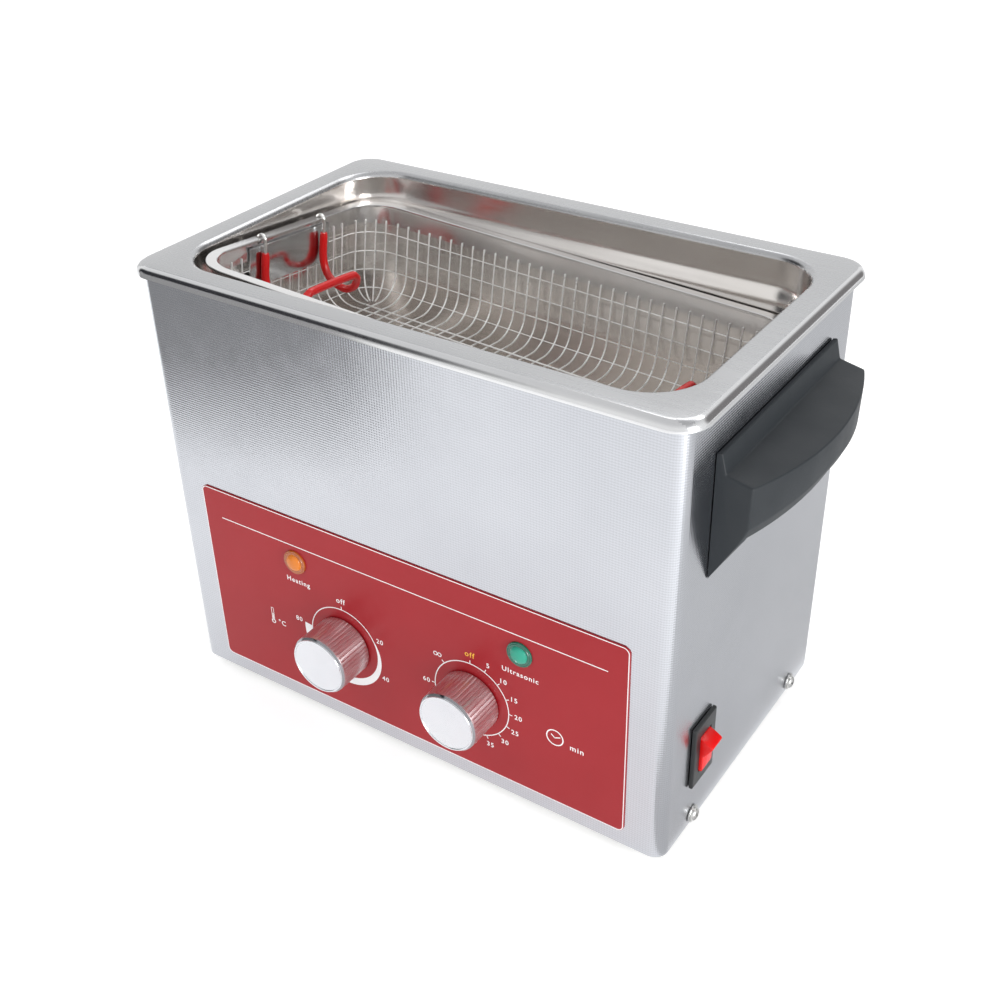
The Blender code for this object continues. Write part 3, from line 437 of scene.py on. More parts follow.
def make_materials():
    linen_steel()
    # name, two tones, lowest and highest roughness, relief, stretch of the grain, scale of the grain
    # satin_steel: its satin roughness is real, and its tones, darker than the lip and walls of the same sheet, are
    # painted shade on the rim's upward flat
    metal("satin_steel", (0.48, 0.485, 0.495), (0.52, 0.525, 0.535), (0.24, 0.31), 0, (0.06, 1, 1))
    metal("lip_steel", (0.70, 0.705, 0.715), (0.76, 0.765, 0.77), (0.13, 0.17))
    metal("tank_steel", (0.74, 0.71, 0.68), (0.82, 0.79, 0.765), (0.17, 0.25), 0, (0.04, 0.04, 1), 500)
    metal("polished_steel", (0.74, 0.735, 0.735), (0.79, 0.785, 0.785), (0.19, 0.24), 0, (0.08, 0.08, 1))
    metal("bright_wire", (0.80, 0.80, 0.79), (0.90, 0.90, 0.88), (0.16, 0.26), grain_scale=300)
    metal("woven_wire", (0.84, 0.84, 0.83), (0.92, 0.92, 0.90), (0.26, 0.34), Metallic=0.45)
    metal("spangled_plate", (0.56, 0.57, 0.58), (0.72, 0.73, 0.74), (0.10, 0.24), grain_scale=160)
    # knob_side: the faint pink tint of its tones is a painted reflection of the red label
    metal("knob_side", (0.76, 0.74, 0.75), (0.80, 0.78, 0.79), (0.29, 0.32), grain_scale=300,
          Anisotropic=0.6, Anisotropic_Rotation=0.25).fan()
    # knob_chamfer: its dark tones on the polished aluminium are a painted dark reflection
    metal("knob_chamfer", (0.30, 0.30, 0.32), (0.36, 0.36, 0.38), (0.08, 0.14))
    metal("zinc_steel", (0.62, 0.62, 0.61), (0.74, 0.74, 0.72), (0.22, 0.38), 0.00001, grain_scale=500)
    metal("dark_steel", (0.20, 0.20, 0.21), (0.28, 0.28, 0.29), (0.28, 0.42), 0.00001)
    metal("cast_aluminium", (0.50, 0.50, 0.51), (0.60, 0.60, 0.61), (0.38, 0.55), 0.00004, grain_scale=300)
    metal("copper_winding", (0.72, 0.33, 0.16), (0.80, 0.42, 0.22), (0.22, 0.36), 0.00003, (1, 1, 0.1), 900)
    metal("brass_blades", (0.72, 0.55, 0.26), (0.80, 0.64, 0.34), (0.18, 0.30), 0.000008)
    # name, two tones, lowest and highest roughness, relief, scale of the texture
    plastic("label_film", (0.315, 0.012, 0.017), (0.335, 0.014, 0.020), (0.30, 0.36),
            Specular_IOR_Level=0.25)
    plastic("print_white", (0.82, 0.82, 0.83), (0.90, 0.90, 0.90), (0.4, 0.5), 0.000004)
    plastic("print_amber", (0.80, 0.42, 0.03), (0.86, 0.50, 0.05), (0.4, 0.5), 0.000004)
    plastic("handle_plastic", (0.017, 0.021, 0.025), (0.021, 0.025, 0.029), (0.42, 0.52), 0.00002, 900,
            Specular_IOR_Level=0.3)
    plastic("black_plastic", (0.012, 0.013, 0.014), (0.018, 0.020, 0.021), (0.30, 0.42), 0.00002, 1800)
    plastic("rubber_black", (0.015, 0.015, 0.015), (0.026, 0.026, 0.026), (0.60, 0.78), 0.00005, 1400)
    plastic("thermostat_cream", (0.62, 0.58, 0.46), (0.70, 0.66, 0.54), (0.35, 0.48), 0.00002)
    plastic("switch_red", (0.60, 0.003, 0.003), (0.66, 0.005, 0.005), (0.14, 0.22), Specular_IOR_Level=0.3)
    plastic("red_sleeve", (0.56, 0.003, 0.004), (0.62, 0.006, 0.007), (0.20, 0.28),
            Coat_Weight=0.2, Coat_Roughness=0.10)
    for name, first, second in (("green_lens", (0.015, 0.27, 0.18), (0.03, 0.33, 0.23)),
                                ("amber_lens", (0.60, 0.17, 0.02), (0.68, 0.22, 0.03))):
        plastic(name, first, second, (0.10, 0.18), 0.00002, 200, Specular_IOR_Level=0.35)
    for name, first, second in (("green_rim", (0.0, 0.085, 0.05), (0.0, 0.12, 0.075)),
                                ("amber_rim", (0.33, 0.07, 0.004), (0.42, 0.10, 0.008))):
        plastic(name, first, second, (0.06, 0.12), Coat_Weight=0.6, Coat_Roughness=0.04)
    plastic("piezo_ceramic", (0.30, 0.24, 0.17), (0.38, 0.31, 0.22), (0.5, 0.65), 0.00003)
    plastic("heater_rubber", (0.42, 0.13, 0.05), (0.52, 0.18, 0.08), (0.55, 0.7), 0.00006, 600)
    plastic("board_green", (0.02, 0.16, 0.07), (0.035, 0.22, 0.10), (0.28, 0.4), 0.00003, 700)
    plastic("ferrite", (0.03, 0.03, 0.032), (0.05, 0.05, 0.052), (0.5, 0.65), 0.00005, 900)
    plastic("capacitor_blue", (0.02, 0.07, 0.30), (0.03, 0.10, 0.40), (0.25, 0.35), 0.00002)
    plastic("lead_black", (0.015, 0.015, 0.016), (0.025, 0.025, 0.026), (0.4, 0.5), 0.00002)
    plastic("lead_red", (0.45, 0.01, 0.01), (0.55, 0.02, 0.015), (0.35, 0.45), 0.00002)


# slots whose material has another name
SLOT_MATERIAL = {"housing_steel": "linen_steel", "foot_rubber": "rubber_black",
                 "gasket_rubber": "rubber_black", "knob_aluminium": "cast_aluminium",
                 "copper": "copper_winding"}


def dress_cad_nodes():
    """Every CAD node gets the finish of the slot that the record gives it."""
    for row in frame["record"]["subparts"]:
        node, slot = row["node"], row["material_slot"]
        data = frame["nodes"][node].data
        data.materials.clear()
        data.materials.append(MATERIALS[SLOT_MATERIAL.get(slot, slot)])


# ------------------------ tank, housing and handles

SHEET = 1.2
RIM_CORNER = 13.0
RIM_ROUNDING = 4.0
MOUTH_ROUNDING = 2.8
# the walls above and below the shoulder, which is measured down from the rim
UPPER_HALF_X = 118.0
UPPER_CORNER = 22.5
LOWER_HALF_X = 115.3
LOWER_CORNER = 19.8
SHOULDER_TOP = 12.5
SHOULDER_BOTTOM = 21.5
TANK_DEPTH = 100.0
FLOOR_FILLET = 18.0
# how far the satin flat reaches down, and the width of the polished lip outside it
FLAT_DEPTH = 2.2
LIP_WIDTH = 3.6


def tank_ring(half_x, corner, z):
    return rounded_ring(half_x, half_x - RIM_HALF_X + RIM_HALF_Y, corner, z, 16)


def quarter(steps):
    """Angles from 0 to 90 degrees, in radians."""
    return [math.radians(90 * step / steps) for step in range(steps + 1)]


def tank_side(offset):
    """Outlines of one face of the tank's sheet, from its floor up to its mouth."""
    rings = []
    fillet = FLOOR_FILLET + offset
    for angle in quarter(12):
        reach = fillet * math.sin(angle) - FLOOR_FILLET
        height = RIM_TOP - TANK_DEPTH + FLOOR_FILLET - fillet * math.cos(angle)
        rings.append(tank_ring(LOWER_HALF_X + reach, LOWER_CORNER + reach, height))
    for step in range(11):
        share = step / 10
        spread = (UPPER_HALF_X - LOWER_HALF_X) * share ** 2 * (3 - 2 * share) + offset
        height = RIM_TOP - SHOULDER_BOTTOM + (SHOULDER_BOTTOM - SHOULDER_TOP) * share
        rings.append(tank_ring(LOWER_HALF_X + spread, LOWER_CORNER + spread, height))
    mouth = MOUTH_ROUNDING - offset
    for angle in quarter(8):
        reach = MOUTH_ROUNDING - mouth * math.cos(angle)
        height = RIM_TOP - MOUTH_ROUNDING + mouth * math.sin(angle)
        rings.append(tank_ring(UPPER_HALF_X + reach, UPPER_CORNER + reach, height))
    return rings


def rim_edge(offset):
    """Outlines of one face of the rim's turned-down edge, from the flat out to the lip."""
    rings = []
    radius = RIM_ROUNDING - offset
    for angle in quarter(8):
        reach = RIM_ROUNDING - radius * math.sin(angle)
        height = RIM_TOP - RIM_ROUNDING + radius * math.cos(angle)
        rings.append(tank_ring(RIM_HALF_X - reach, RIM_CORNER - reach, height))
    return rings


def make_tank():
    rings = tank_side(0) + rim_edge(0) + rim_edge(SHEET)[::-1] + tank_side(SHEET)[::-1]
    tank = finish_piece("tank_shell", skin(rings), "tank_steel", "root", ["tank"], sharp=50)

    def steel_at(place):
        if max(abs(place.x) - RIM_HALF_X, abs(place.y) - RIM_HALF_Y) > -LIP_WIDTH:
            return 2
        return int(place.z > RIM_TOP - FLAT_DEPTH)

    # the flat on top gets the darker satin tones, which are painted shade; the lip and the walls get the brighter
    # steel
    paint(tank, ["satin_steel", "lip_steel"], steel_at)


def make_housing():
    """The sleeve, with small radii at its corners and its upper edge, and openings for inlet and switch."""
    def ring(inset, z, corner=6.5):
        return rounded_ring(HOUSING_HALF_X - inset, HOUSING_HALF_Y - inset, max(corner - inset, 0.5), z, 12)

    top, edge = HOUSING_TOP, 0.7
    rings = [ring(1.0, FOOT_HEIGHT), ring(0.25, FOOT_HEIGHT), ring(0, FOOT_HEIGHT + 0.25)]
    for angle in quarter(4):
        rings.append(ring(edge - edge * math.cos(angle), top - edge + edge * math.sin(angle)))
    rings += [ring(6.0, top, 9.0), ring(6.0, top - 1, 9.0), ring(1.0, top - 1)]
    mesh = skin(rings, loop=True)
    low, high = box_mm("mains_inlet")
    inlet = block((low.x + 4, HOUSING_HALF_Y - 4, low.z + 3), (high.x - 4, HOUSING_HALF_Y + 2, high.z - 3))
    barrel = block((HOUSING_HALF_X - 4, FRAME_LOW.y + 2.5, FRAME_LOW.z + 2),
                   (HOUSING_HALF_X + 2, FRAME_HIGH.y - 2.5, FRAME_HIGH.z - 2))
    finish_piece("housing_sleeve", cut(mesh, [inlet, barrel]), "linen_steel", "root",
                 ["housing_shell"])


HANDLE_HALF_Y = HANDLE_HIGH.y
HANDLE_ARC = 139.0  # the radius of the grip's outer edge, seen from above
HANDLE_WALL = 2.7
HANDLE_END = 2.5  # the thickness of the end walls
# heights above the housing's lower edge
HANDLE_LIP = 161.0
HANDLE_LIP_DROP = 5.0  # from the middle to the ends
HANDLE_FOOT = 137.0
HANDLE_END_FOOT = 129.4
HOLLOW_FOOT = 120.0


def handle_edge(y):
    """How far out the grip reaches at a place along it."""
    return HANDLE_HIGH.x - (HANDLE_ARC - math.sqrt(HANDLE_ARC ** 2 - y ** 2))


def handle_section(y, lowest):
    wall = HANDLE_LOW.x
    edge = handle_edge(y)
    lip = HANDLE_LIP - HANDLE_LIP_DROP * abs(y) / HANDLE_HALF_Y
    outline = [(wall, 183.3), (130.3, 183.8), (132.3, 175.6), (edge, 173.3)]
    outline += [(edge - 0.4, lip), (edge - 3.4, lip - 7.0), (wall, lowest)]
    return [Vector((x, y, FOOT_HEIGHT + height)) for x, height in outline]


def handle_hollow(y):
    edge = handle_edge(y) - HANDLE_WALL
    wall = HANDLE_LOW.x + HANDLE_WALL
    outline = [(wall, 172.0), (wall + 2.0, 172.6), (edge - 2.0, 170.9), (edge, 169.0)]
    outline += [(edge, HOLLOW_FOOT), (wall, HOLLOW_FOOT)]
    return [Vector((x, y, FOOT_HEIGHT + height)) for x, height in outline]


def make_handle(side):
    """A grip with crisp, slightly rounded moulding edges, hollow below for the fingers."""
    inner = HANDLE_HALF_Y - HANDLE_END
    places = [step * (inner - 1.2) / 22 for step in range(23)] + [inner + 0.8, HANDLE_HALF_Y]
    places = [-y for y in places[:0:-1]] + places
    outer = skin([handle_section(y, HANDLE_END_FOOT if abs(y) >= inner else HANDLE_FOOT) for y in places])
    rounded = [edge for edge in sharp_edges(outer, 14)
               if min(vertex.co.x for vertex in edge.verts) > HANDLE_LOW.x + 0.5]
    bevel(outer, rounded, 0.7)
    hollow = skin([handle_hollow(inner * step / 16) for step in range(-16, 17)])
    mesh = cut(outer, [hollow])
    if side == "left":
        mesh.transform(Matrix.Rotation(math.pi, 4, "Z"))
    finish_piece(f"handle_grip_{side}", mesh, "handle_plastic", "root",
                 [f"carry_handle_{side}"], sharp=35)


# ------------------------ control panel

def panel_point(x, height, proud=0.0):
    """A point on the panel from its place along it and its height above the housing's lower edge."""
    return Vector((x, PANEL_Y - proud, FOOT_HEIGHT + height))


def panel_place(point):
    """A point's place along the panel and its height above the housing's lower edge."""
    return point.x, point.z - FOOT_HEIGHT


INK = 0.025  # the thickness of the print
THIN = 0.42
LETTER_BOLDNESS = 0.012
DIGIT_TALL = 2.5
OFF_WIDE = 5.0
THERMOMETER = (-76.0, 40.9)
CLOCK = (77.4, 44.2)
TIMER_STEP = 22.5  # degrees for five minutes
TEMPERATURE_DIAL = panel_place(joint_mm("temperature_dial"))
TIMER_DIAL = panel_place(joint_mm("timer_dial"))
HEATING_LAMP = panel_place(sum(box_mm("heating_lamp_lens"), ZERO) / 2)
ULTRASONIC_LAMP = panel_place(sum(box_mm("ultrasonic_lamp_lens"), ZERO) / 2)


def printed(outline):
    """A layer of ink on the panel from an outline of (x, height) pairs."""
    return skin([[panel_point(x, height, level) for x, height in outline] for level in (0, INK)])


def arc_band(centre, inner, outer, start, end, steps=None):
    """A band of ink round a dial, clockwise between two angles. The radii are numbers or functions."""
    steps = steps or max(4, int(abs(end - start) / 4))
    inside, outside = [], []
    for step in range(steps + 1):
        share = step / steps
        angle = math.radians(start + (end - start) * share)
        for row, radius in ((inside, inner), (outside, outer)):
            reach = radius(share) if callable(radius) else radius
            row.append((centre[0] + reach * math.sin(angle), centre[1] + reach * math.cos(angle)))
    if abs(end - start) >= 360:
        rings = []
        for row, level in ((inside[:-1], 0), (outside[:-1], 0), (outside[:-1], INK), (inside[:-1], INK)):
            rings.append([panel_point(x, height, level) for x, height in row])
        return skin(rings, loop=True)
    return printed(inside + outside[::-1])


def stroke(start, end, width):
    """A straight line of ink."""
    start, end = Vector(start), Vector(end)
    across = Vector((start.y - end.y, end.x - start.x)).normalized() * width / 2
    return printed([start - across, end - across, end + across, start + across])


def words(text, x, height, width=None, tall=None):
    """Lettering of a given width or height, centred on a place on the panel."""
    curve = bpy.data.curves.new("words", "FONT")
    curve.body = text
    curve.size = 1.0
    curve.offset = LETTER_BOLDNESS
    curve.resolution_u = 4
    curve.space_character = 1.2
    item = linked("words", curve)
    bpy.context.view_layer.update()
    data = bpy.data.meshes.new_from_object(item.evaluated_get(bpy.context.evaluated_depsgraph_get()))
    mesh = bmesh.new()
    mesh.from_mesh(data)
    bpy.data.objects.remove(item)
    bpy.data.curves.remove(curve)
    bpy.data.meshes.remove(data)
    (left, right), (foot, head) = (
        (min(values), max(values)) for values in zip(*(vertex.co.to_2d() for vertex in mesh.verts)))
    scale = width / (right - left) if width else tall / (head - foot)
    for vertex in mesh.verts:
        vertex.co = panel_point((vertex.co.x - (left + right) / 2) * scale + x,
                                (vertex.co.y - (foot + head) / 2) * scale + height, INK)
    extruded = bmesh.ops.extrude_face_region(mesh, geom=mesh.faces[:])
    lower = [item for item in extruded["geom"] if isinstance(item, bmesh.types.BMVert)]
    bmesh.ops.translate(mesh, verts=lower, vec=(0, INK, 0))
    bmesh.ops.recalc_face_normals(mesh, faces=mesh.faces)
    return mesh


def around(dial, radius, angle):
    """A place round a dial, at an angle clockwise from its top."""
    turn = math.radians(angle)
    return dial[0] + radius * math.sin(turn), dial[1] + radius * math.cos(turn)


LABEL_MIDDLE = (LABEL_HIGH + LABEL_LOW) / 2
LABEL_HALF = (LABEL_HIGH - LABEL_LOW) / 2
LABEL_CORNER = 3.0


def make_label():
    """The red film, with a slightly rounded edge."""
    edge = 0.08
    ring = rounded_ring(LABEL_HALF.x, LABEL_HALF.z, LABEL_CORNER, 0, 10)
    rows = []
    for inset, y in ((0, 0.02 - HOUSING_HALF_Y), (0, PANEL_Y + edge), (edge, PANEL_Y)):
        across, up = 1 - inset / LABEL_HALF.x, 1 - inset / LABEL_HALF.z
        rows.append([Vector((p.x * across + LABEL_MIDDLE.x, y, p.y * up + LABEL_MIDDLE.z)) for p in ring])
    finish_piece("panel_film", skin(rows), "label_film", "root", ["control_label"])


def edge_line(inset, width):
    """A thin printed line that follows the label's edge."""
    rings = []
    for extra, level in ((inset, 0), (inset + width, 0), (inset + width, INK), (inset, INK)):
        ring = rounded_ring(LABEL_HALF.x - extra, LABEL_HALF.z - extra, LABEL_CORNER - extra, 0, 8)
        rings.append([Vector((p.x + LABEL_MIDDLE.x, PANEL_Y - level, p.y + LABEL_MIDDLE.z)) for p in ring])
    return skin(rings, loop=True)


def dial_tick(dial, angle, start, end):
    return stroke(around(dial, start, angle), around(dial, end, angle), THIN)


def temperature_marks():
    """The scale's ring, which grows wider with the heat, its off mark and its numbers."""
    dial = TEMPERATURE_DIAL
    marks = [arc_band(dial, 18.6, 19.05, -83, 65),
             arc_band(dial, 18.6, lambda share: 19.05 + 4.0 * (1 - (1 - share) ** 3), 65, 277),
             dial_tick(dial, 0, 19.0, 20.6), words("off", *around(dial, 23.6, 0), OFF_WIDE)]
    for text, angle, reach in (("20", 65, 22.6), ("40", 116, 24.6), ("80", 277, 26.6)):
        marks.append(words(text, *around(dial, reach, angle), tall=DIGIT_TALL))
    return marks


def timer_marks():
    """The scale's ring, a tick and a number every five minutes to 60, and the endless mark."""
    dial = TIMER_DIAL
    marks = [arc_band(dial, 18.7, 19.15, 0, 360, 120)]
    for step in (*range(13), 14):
        marks.append(dial_tick(dial, TIMER_STEP * step, 19.0, 20.7))
        if step in range(1, 13):
            marks.append(words(str(5 * step), *around(dial, 23.6, TIMER_STEP * step), tall=DIGIT_TALL))
    x, height = around(dial, 23.8, TIMER_STEP * 14)
    for side in (-1, 1):
        marks.append(arc_band((x + side * 1.05, height), 0.72, 1.1, 0, 360, 20))
    return marks


def symbols():
    """A thermometer with degrees, and a clock with minutes."""
    x, height = THERMOMETER
    marks = [arc_band(THERMOMETER, 0.75, 1.25, 0, 360, 20)]
    for side in (-0.62, 0.62):
        marks.append(stroke((x + side, height + 1.0), (x + side, height + 7.7), 0.3))
    marks.append(stroke((x - 0.6, height + 7.8), (x + 0.6, height + 7.8), 0.3))
    marks.append(stroke((x, height + 0.3), (x, height + 4.5), 0.5))
    marks.append(words("\u00b0C", x + 5.3, height + 1.0, 4.2))
    x, height = CLOCK
    marks.append(arc_band(CLOCK, 3.65, 4.2, 0, 360, 40))
    marks.append(stroke((x + 0.1, height - 0.2), (x - 1.8, height + 1.4), 0.5))
    marks.append(stroke((x - 0.1, height - 0.1), (x + 2.6, height + 1.1), 0.5))
    marks.append(words("min", x + 10.5, height - 1.8, 6.4))
    return marks


def make_print():
    white = [stroke((-99.8, 90.2), (101.3, 90.2), THIN), edge_line(0.15, 0.4)]
    white += [words("Heating", -57.0, 70.6, 13.2), words("Ultrasonic", 60.8, 70.2, 17.6)]
    white += temperature_marks() + timer_marks() + symbols()
    finish_piece("panel_print_white", gathered(white), "print_white", "root")
    amber = [words("off", *around(TIMER_DIAL, 23.8, 0), OFF_WIDE)]
    finish_piece("panel_print_amber", gathered(amber), "print_amber", "root")


KNOB_RIBS = 48
GROOVE = (0, 0, 0, 0, 0.9, 0.9)  # shares of a groove's depth, at six steps across each rib


def make_knob(name, body):
    """A turned knob: a ribbed side, a polished chamfer whose dark tone is a painted reflection, and a slightly
    dished face.
    """
    low, high = box_mm(name)
    radius = (high.x - low.x) / 2
    length = high.y - low.y
    dish = length - 0.95
    # radius, distance from the panel, and depth of the grooves
    profile = [(radius - 0.35, 0, 0), (radius, 0.35, 0.35), (radius, length - 2.4, 0.35)]
    profile += [(radius - inset, length - back, 0) for inset, back in
                ((0.05, 2.0), (0.1, 1.4), (0.85, 0.5), (0.95, 0.42), (1.05, 0.05), (1.3, 0), (1.55, 0.05),
                 (1.75, 0.42))]
    profile += [(share * (radius - 1.9), dish + 0.5 * share, 0) for share in (1, 0.75, 0.5, 0.25, 0.06)]
    segments = KNOB_RIBS * len(GROOVE)
    rings = []
    for reach, height, groove in profile:
        ring = []
        for step in range(segments):
            angle = 2 * math.pi * step / segments
            out = reach - groove * GROOVE[step % len(GROOVE)]
            ring.append(Vector((out * math.cos(angle), out * math.sin(angle), height)))
        rings.append(ring)
    rings.append([Vector((0, 0, dish))])
    mesh = skin(rings)
    mesh.transform(TO_FRONT)
    middle = (low + high) / 2
    metal_name = f"spun_aluminium_{name}"
    spun_aluminium(metal_name, middle)
    knob = finish_piece(f"{name}_turned", mesh, metal_name, body, [name],
                        (middle.x, high.y, middle.z), 24)

    def metal_at(place):
        if high.y - place.y < length - 1.6:
            return 1
        return 2 if math.hypot(place.x - middle.x, place.z - middle.z) > radius - 0.9 else 0

    # the front ring near the edge takes the darker metal, which is a painted dark reflection
    paint(knob, ["knob_side", "knob_chamfer"], metal_at)


def make_lamp(name, place, hue):
    """A pilot lamp: a coloured glass cap with a flange, set in a thin bezel of a darker glass."""
    location = panel_point(*place)
    proud = PANEL_Y - box_mm(f"{name}_lens")[0].y
    outline = [(6.0, 0.02), (6.0, 0.55), (5.75, 0.9), (5.3, 0.9), (5.2, 0.5), (5.2, 0.02)]
    bezel = turned(outline, 64, loop=True)
    bezel.transform(TO_FRONT)
    finish_piece(f"{name}_bezel", bezel, f"{hue}_rim", "root", [f"{name}_body"], location)
    dome, flange = 4.0, 1.05
    profile = [(0, 0.05), (5.3, 0.05), (5.35, 0.7), (5.1, flange), (4.6, 1.1), (4.15, 0.95), (dome, flange)]
    for angle in range(10, 90, 10):
        turn = math.radians(angle)
        profile.append((dome * math.cos(turn), flange + (proud - flange) * math.sin(turn)))
    profile.append((0, proud))
    cap = turned(profile, 64)
    cap.transform(TO_FRONT)
    piece = finish_piece(f"{name}_cap", cap, f"{hue}_lens", "root", [f"{name}_lens"],
                         location, 40)
    paint(piece, [f"{hue}_rim"],
          lambda place: int(math.hypot(place.x - location.x, place.z - location.z) > dome + 0.1))


# ------------------------ switch and screws

ROCKER_WIDE = 9.2
ROCKER_TILT = 17.0


def make_switch():
    """A bezel with a barrel through the wall, and a rocker tilted in its well."""
    low, high = FRAME_LOW, FRAME_HIGH
    middle = (low + high) / 2
    wall = HOUSING_HALF_X + GAP
    bezel = block((wall, low.y, low.z), (high.x, high.y, high.z))
    outer = [edge for edge in bezel.edges if min(v.co.x for v in edge.verts) > wall + 0.5]
    bevel(bezel, outer, 0.7)
    barrel = block((low.x, middle.y - 6.4, middle.z - 13.4), (wall + 0.5, middle.y + 6.4, middle.z + 13.4))
    well = block((118, middle.y - 4.9, middle.z - 9.5), (high.x + 4, middle.y + 4.9, middle.z + 9.5))
    bezel = cut(bezel, [well.copy()])
    finish_piece("switch_bezel", bezel, "black_plastic", "root", ["switch_frame"])
    finish_piece("switch_barrel", cut(barrel, [well]), "black_plastic", "root")

    pivot = joint_mm("power_rocker")
    half = [(4.6, 0.0), (5.2, 1.6), (6.6, 6.4), (6.75, 7.1), (6.1, 7.6), (3.4, 8.35), (0.3, 8.8), (-4.0, 8.0)]
    points = half + [(out, -up) for out, up in half[:0:-1]]
    tilt = math.radians(ROCKER_TILT)
    outline = [(out * math.cos(tilt) + up * math.sin(tilt), up * math.cos(tilt) - out * math.sin(tilt))
               for out, up in points]
    rocker = skin([[Vector((out, side * ROCKER_WIDE / 2, up)) for out, up in outline] for side in (-1, 1)])
    bevel(rocker, sharp_edges(rocker, 30), 0.35)
    finish_piece("rocker_cap", rocker, "switch_red", "rocker", ["switch_rocker"],
                 (pivot.x, middle.y, pivot.z))


def make_side_screws():
    """Pan-head screws on washers, with a cross recess."""
    washer = [(0, 0), (4.0, 0), (4.0, 0.55), (3.85, 0.7), (0, 0.7)]
    head = [(0, 0.7), (3.0, 0.7), (3.0, 1.3), (2.75, 1.85), (2.2, 2.25), (1.2, 2.45), (0, 2.5)]
    for side, facing in (("left", -RIGHT), ("right", RIGHT)):
        for end, angle in (("front", 0.6), ("rear", 1.1)):
            low, high = box_mm(f"side_screw_{side}_{end}")
            middle = (low + high) / 2
            slots = [block((-1.9, -0.35, 1.5), (1.9, 0.35, 4)), block((-0.35, -1.9, 1.5), (0.35, 1.9, 4))]
            mesh = gathered([turned(washer, 40), cut(turned(head, 40), slots)])
            mesh.transform(Matrix.Rotation(angle, 4, "Z"))
            mesh.transform(UP.rotation_difference(facing).to_matrix().to_4x4())
            place = (facing.x * (HOUSING_HALF_X + GAP), middle.y, middle.z)
            finish_piece(f"pan_screw_{side}_{end}", mesh, "zinc_steel", "root",
                         [f"side_screw_{side}_{end}"], place)


def make_feet():
    """Turned rubber feet with a hollow underside."""
    for place in ("front_left", "rear_left", "front_right", "rear_right"):
        low, high = box_mm(f"foot_{place}")
        middle = (low + high) / 2
        radius = (high.x - low.x) / 2
        profile = [(0, 0.6), (4.2, 0.6), (4.6, 0), (6.4, 0), (7.1, 0.25), (7.5, 0.8),
                   (radius - 0.15, 4.6), (radius, 5.3), (radius - 0.25, 5.7), (0, 5.7)]
        finish_piece(f"foot_pad_{place}", turned(profile), "rubber_black", "root",
                     [f"foot_{place}"], (middle.x, middle.y, low.z))


# ------------------------ basket

LEFT_PIVOT = joint_mm("left_bail_swing")
RIGHT_PIVOT = joint_mm("right_bail_swing")
ALONG_X = (RIGHT_PIVOT - LEFT_PIVOT).normalized()
ALONG_Y = Vector(JOINTS["right_bail_swing"]["axis"]).normalized()
BASKET_UP = ALONG_X.cross(ALONG_Y).normalized()
FLANGE_THICKNESS = 1.2
# the basket's own axes start at its seat, the middle of the rim's upper face
PIVOT_X = (RIGHT_PIVOT - LEFT_PIVOT).length / 2
SEAT = (LEFT_PIVOT + RIGHT_PIVOT) / 2 + BASKET_UP * FLANGE_THICKNESS / 2
BASKET = Matrix.Translation(SEAT) @ Matrix((ALONG_X, ALONG_Y, BASKET_UP)).transposed().to_4x4()
BAND_DEPTH = 9.5
BASKET_DEPTH = 45.0
BASKET_FILLET = 12.0
TRAY = (112.7, 59.0, 16.6)  # half of its length and of its width, and its corners' radius
# radii of the wires, the step from hoops to wires inside them, and the pitch of wires and of hoops
WIRE = 0.40
HOOP_WIRE = 0.28
HOOP_GAP = 0.66
WIRE_PITCH = 6.3
HOOP_PITCH = 9.5
BAIL_HALF_Y = 20.0
BAIL_WIRE = 0.85
HOOK = 1.9  # the radius of the hooks' centre line
SLEEVE = 1.9


def seat_piece(name, mesh, material, body, nodes, sharp=32):
    """Finish a piece that was made in the basket's own axes."""
    mesh.transform(BASKET)
    finish_piece(name, mesh, material, body, nodes, sharp=sharp)


def make_flange():
    """The basket's flat rim and the band below it, pressed from one strip."""
    under = -FLANGE_THICKNESS
    # half of the length and of the width, corner radius, height
    rows = [(114.3, 62.8, 19.8, 0), (114.5, 63.0, 20.0, -0.2), (114.5, 63.0, 20.0, under + 0.2),
            (114.3, 62.8, 19.8, under), (113.1, 59.4, 17.0, under), (113.1, 59.4, 17.0, -BAND_DEPTH),
            (112.3, 58.6, 16.2, -BAND_DEPTH), (112.3, 58.6, 16.2, under - 0.6),
            (112.0, 58.4, 16.0, under - 0.1), (110.4, 58.3, 15.9, under), (110.0, 58.2, 15.8, under + 0.3),
            (110.0, 58.2, 15.8, -0.3), (110.3, 58.5, 16.1, 0)]
    mesh = skin([rounded_ring(*row, 20) for row in rows], loop=True)
    slots = []
    for side in (-1, 1):
        for y in (-BAIL_HALF_Y, BAIL_HALF_Y):
            near, far = sorted((side * (PIVOT_X + 0.6), side * (PIVOT_X + 3.0)))
            slots.append(block((near, y - 1.2, -3.6), (far, y + 1.2, 2)))
    seat_piece("basket_rim", cut(mesh, slots), "polished_steel", "basket",
               ["basket_flange"], 40)


def tray_drop():
    """How a wall wire runs from the band down to the floor, as (inset, height)."""
    points = [(0, -BAND_DEPTH + 1.5), (0, -18), (0, -26), (0, -BASKET_DEPTH + BASKET_FILLET)]
    for angle in quarter(8)[1:]:
        points.append((BASKET_FILLET * (1 - math.cos(angle)),
                       -BASKET_DEPTH + BASKET_FILLET * (1 - math.sin(angle))))
    return points


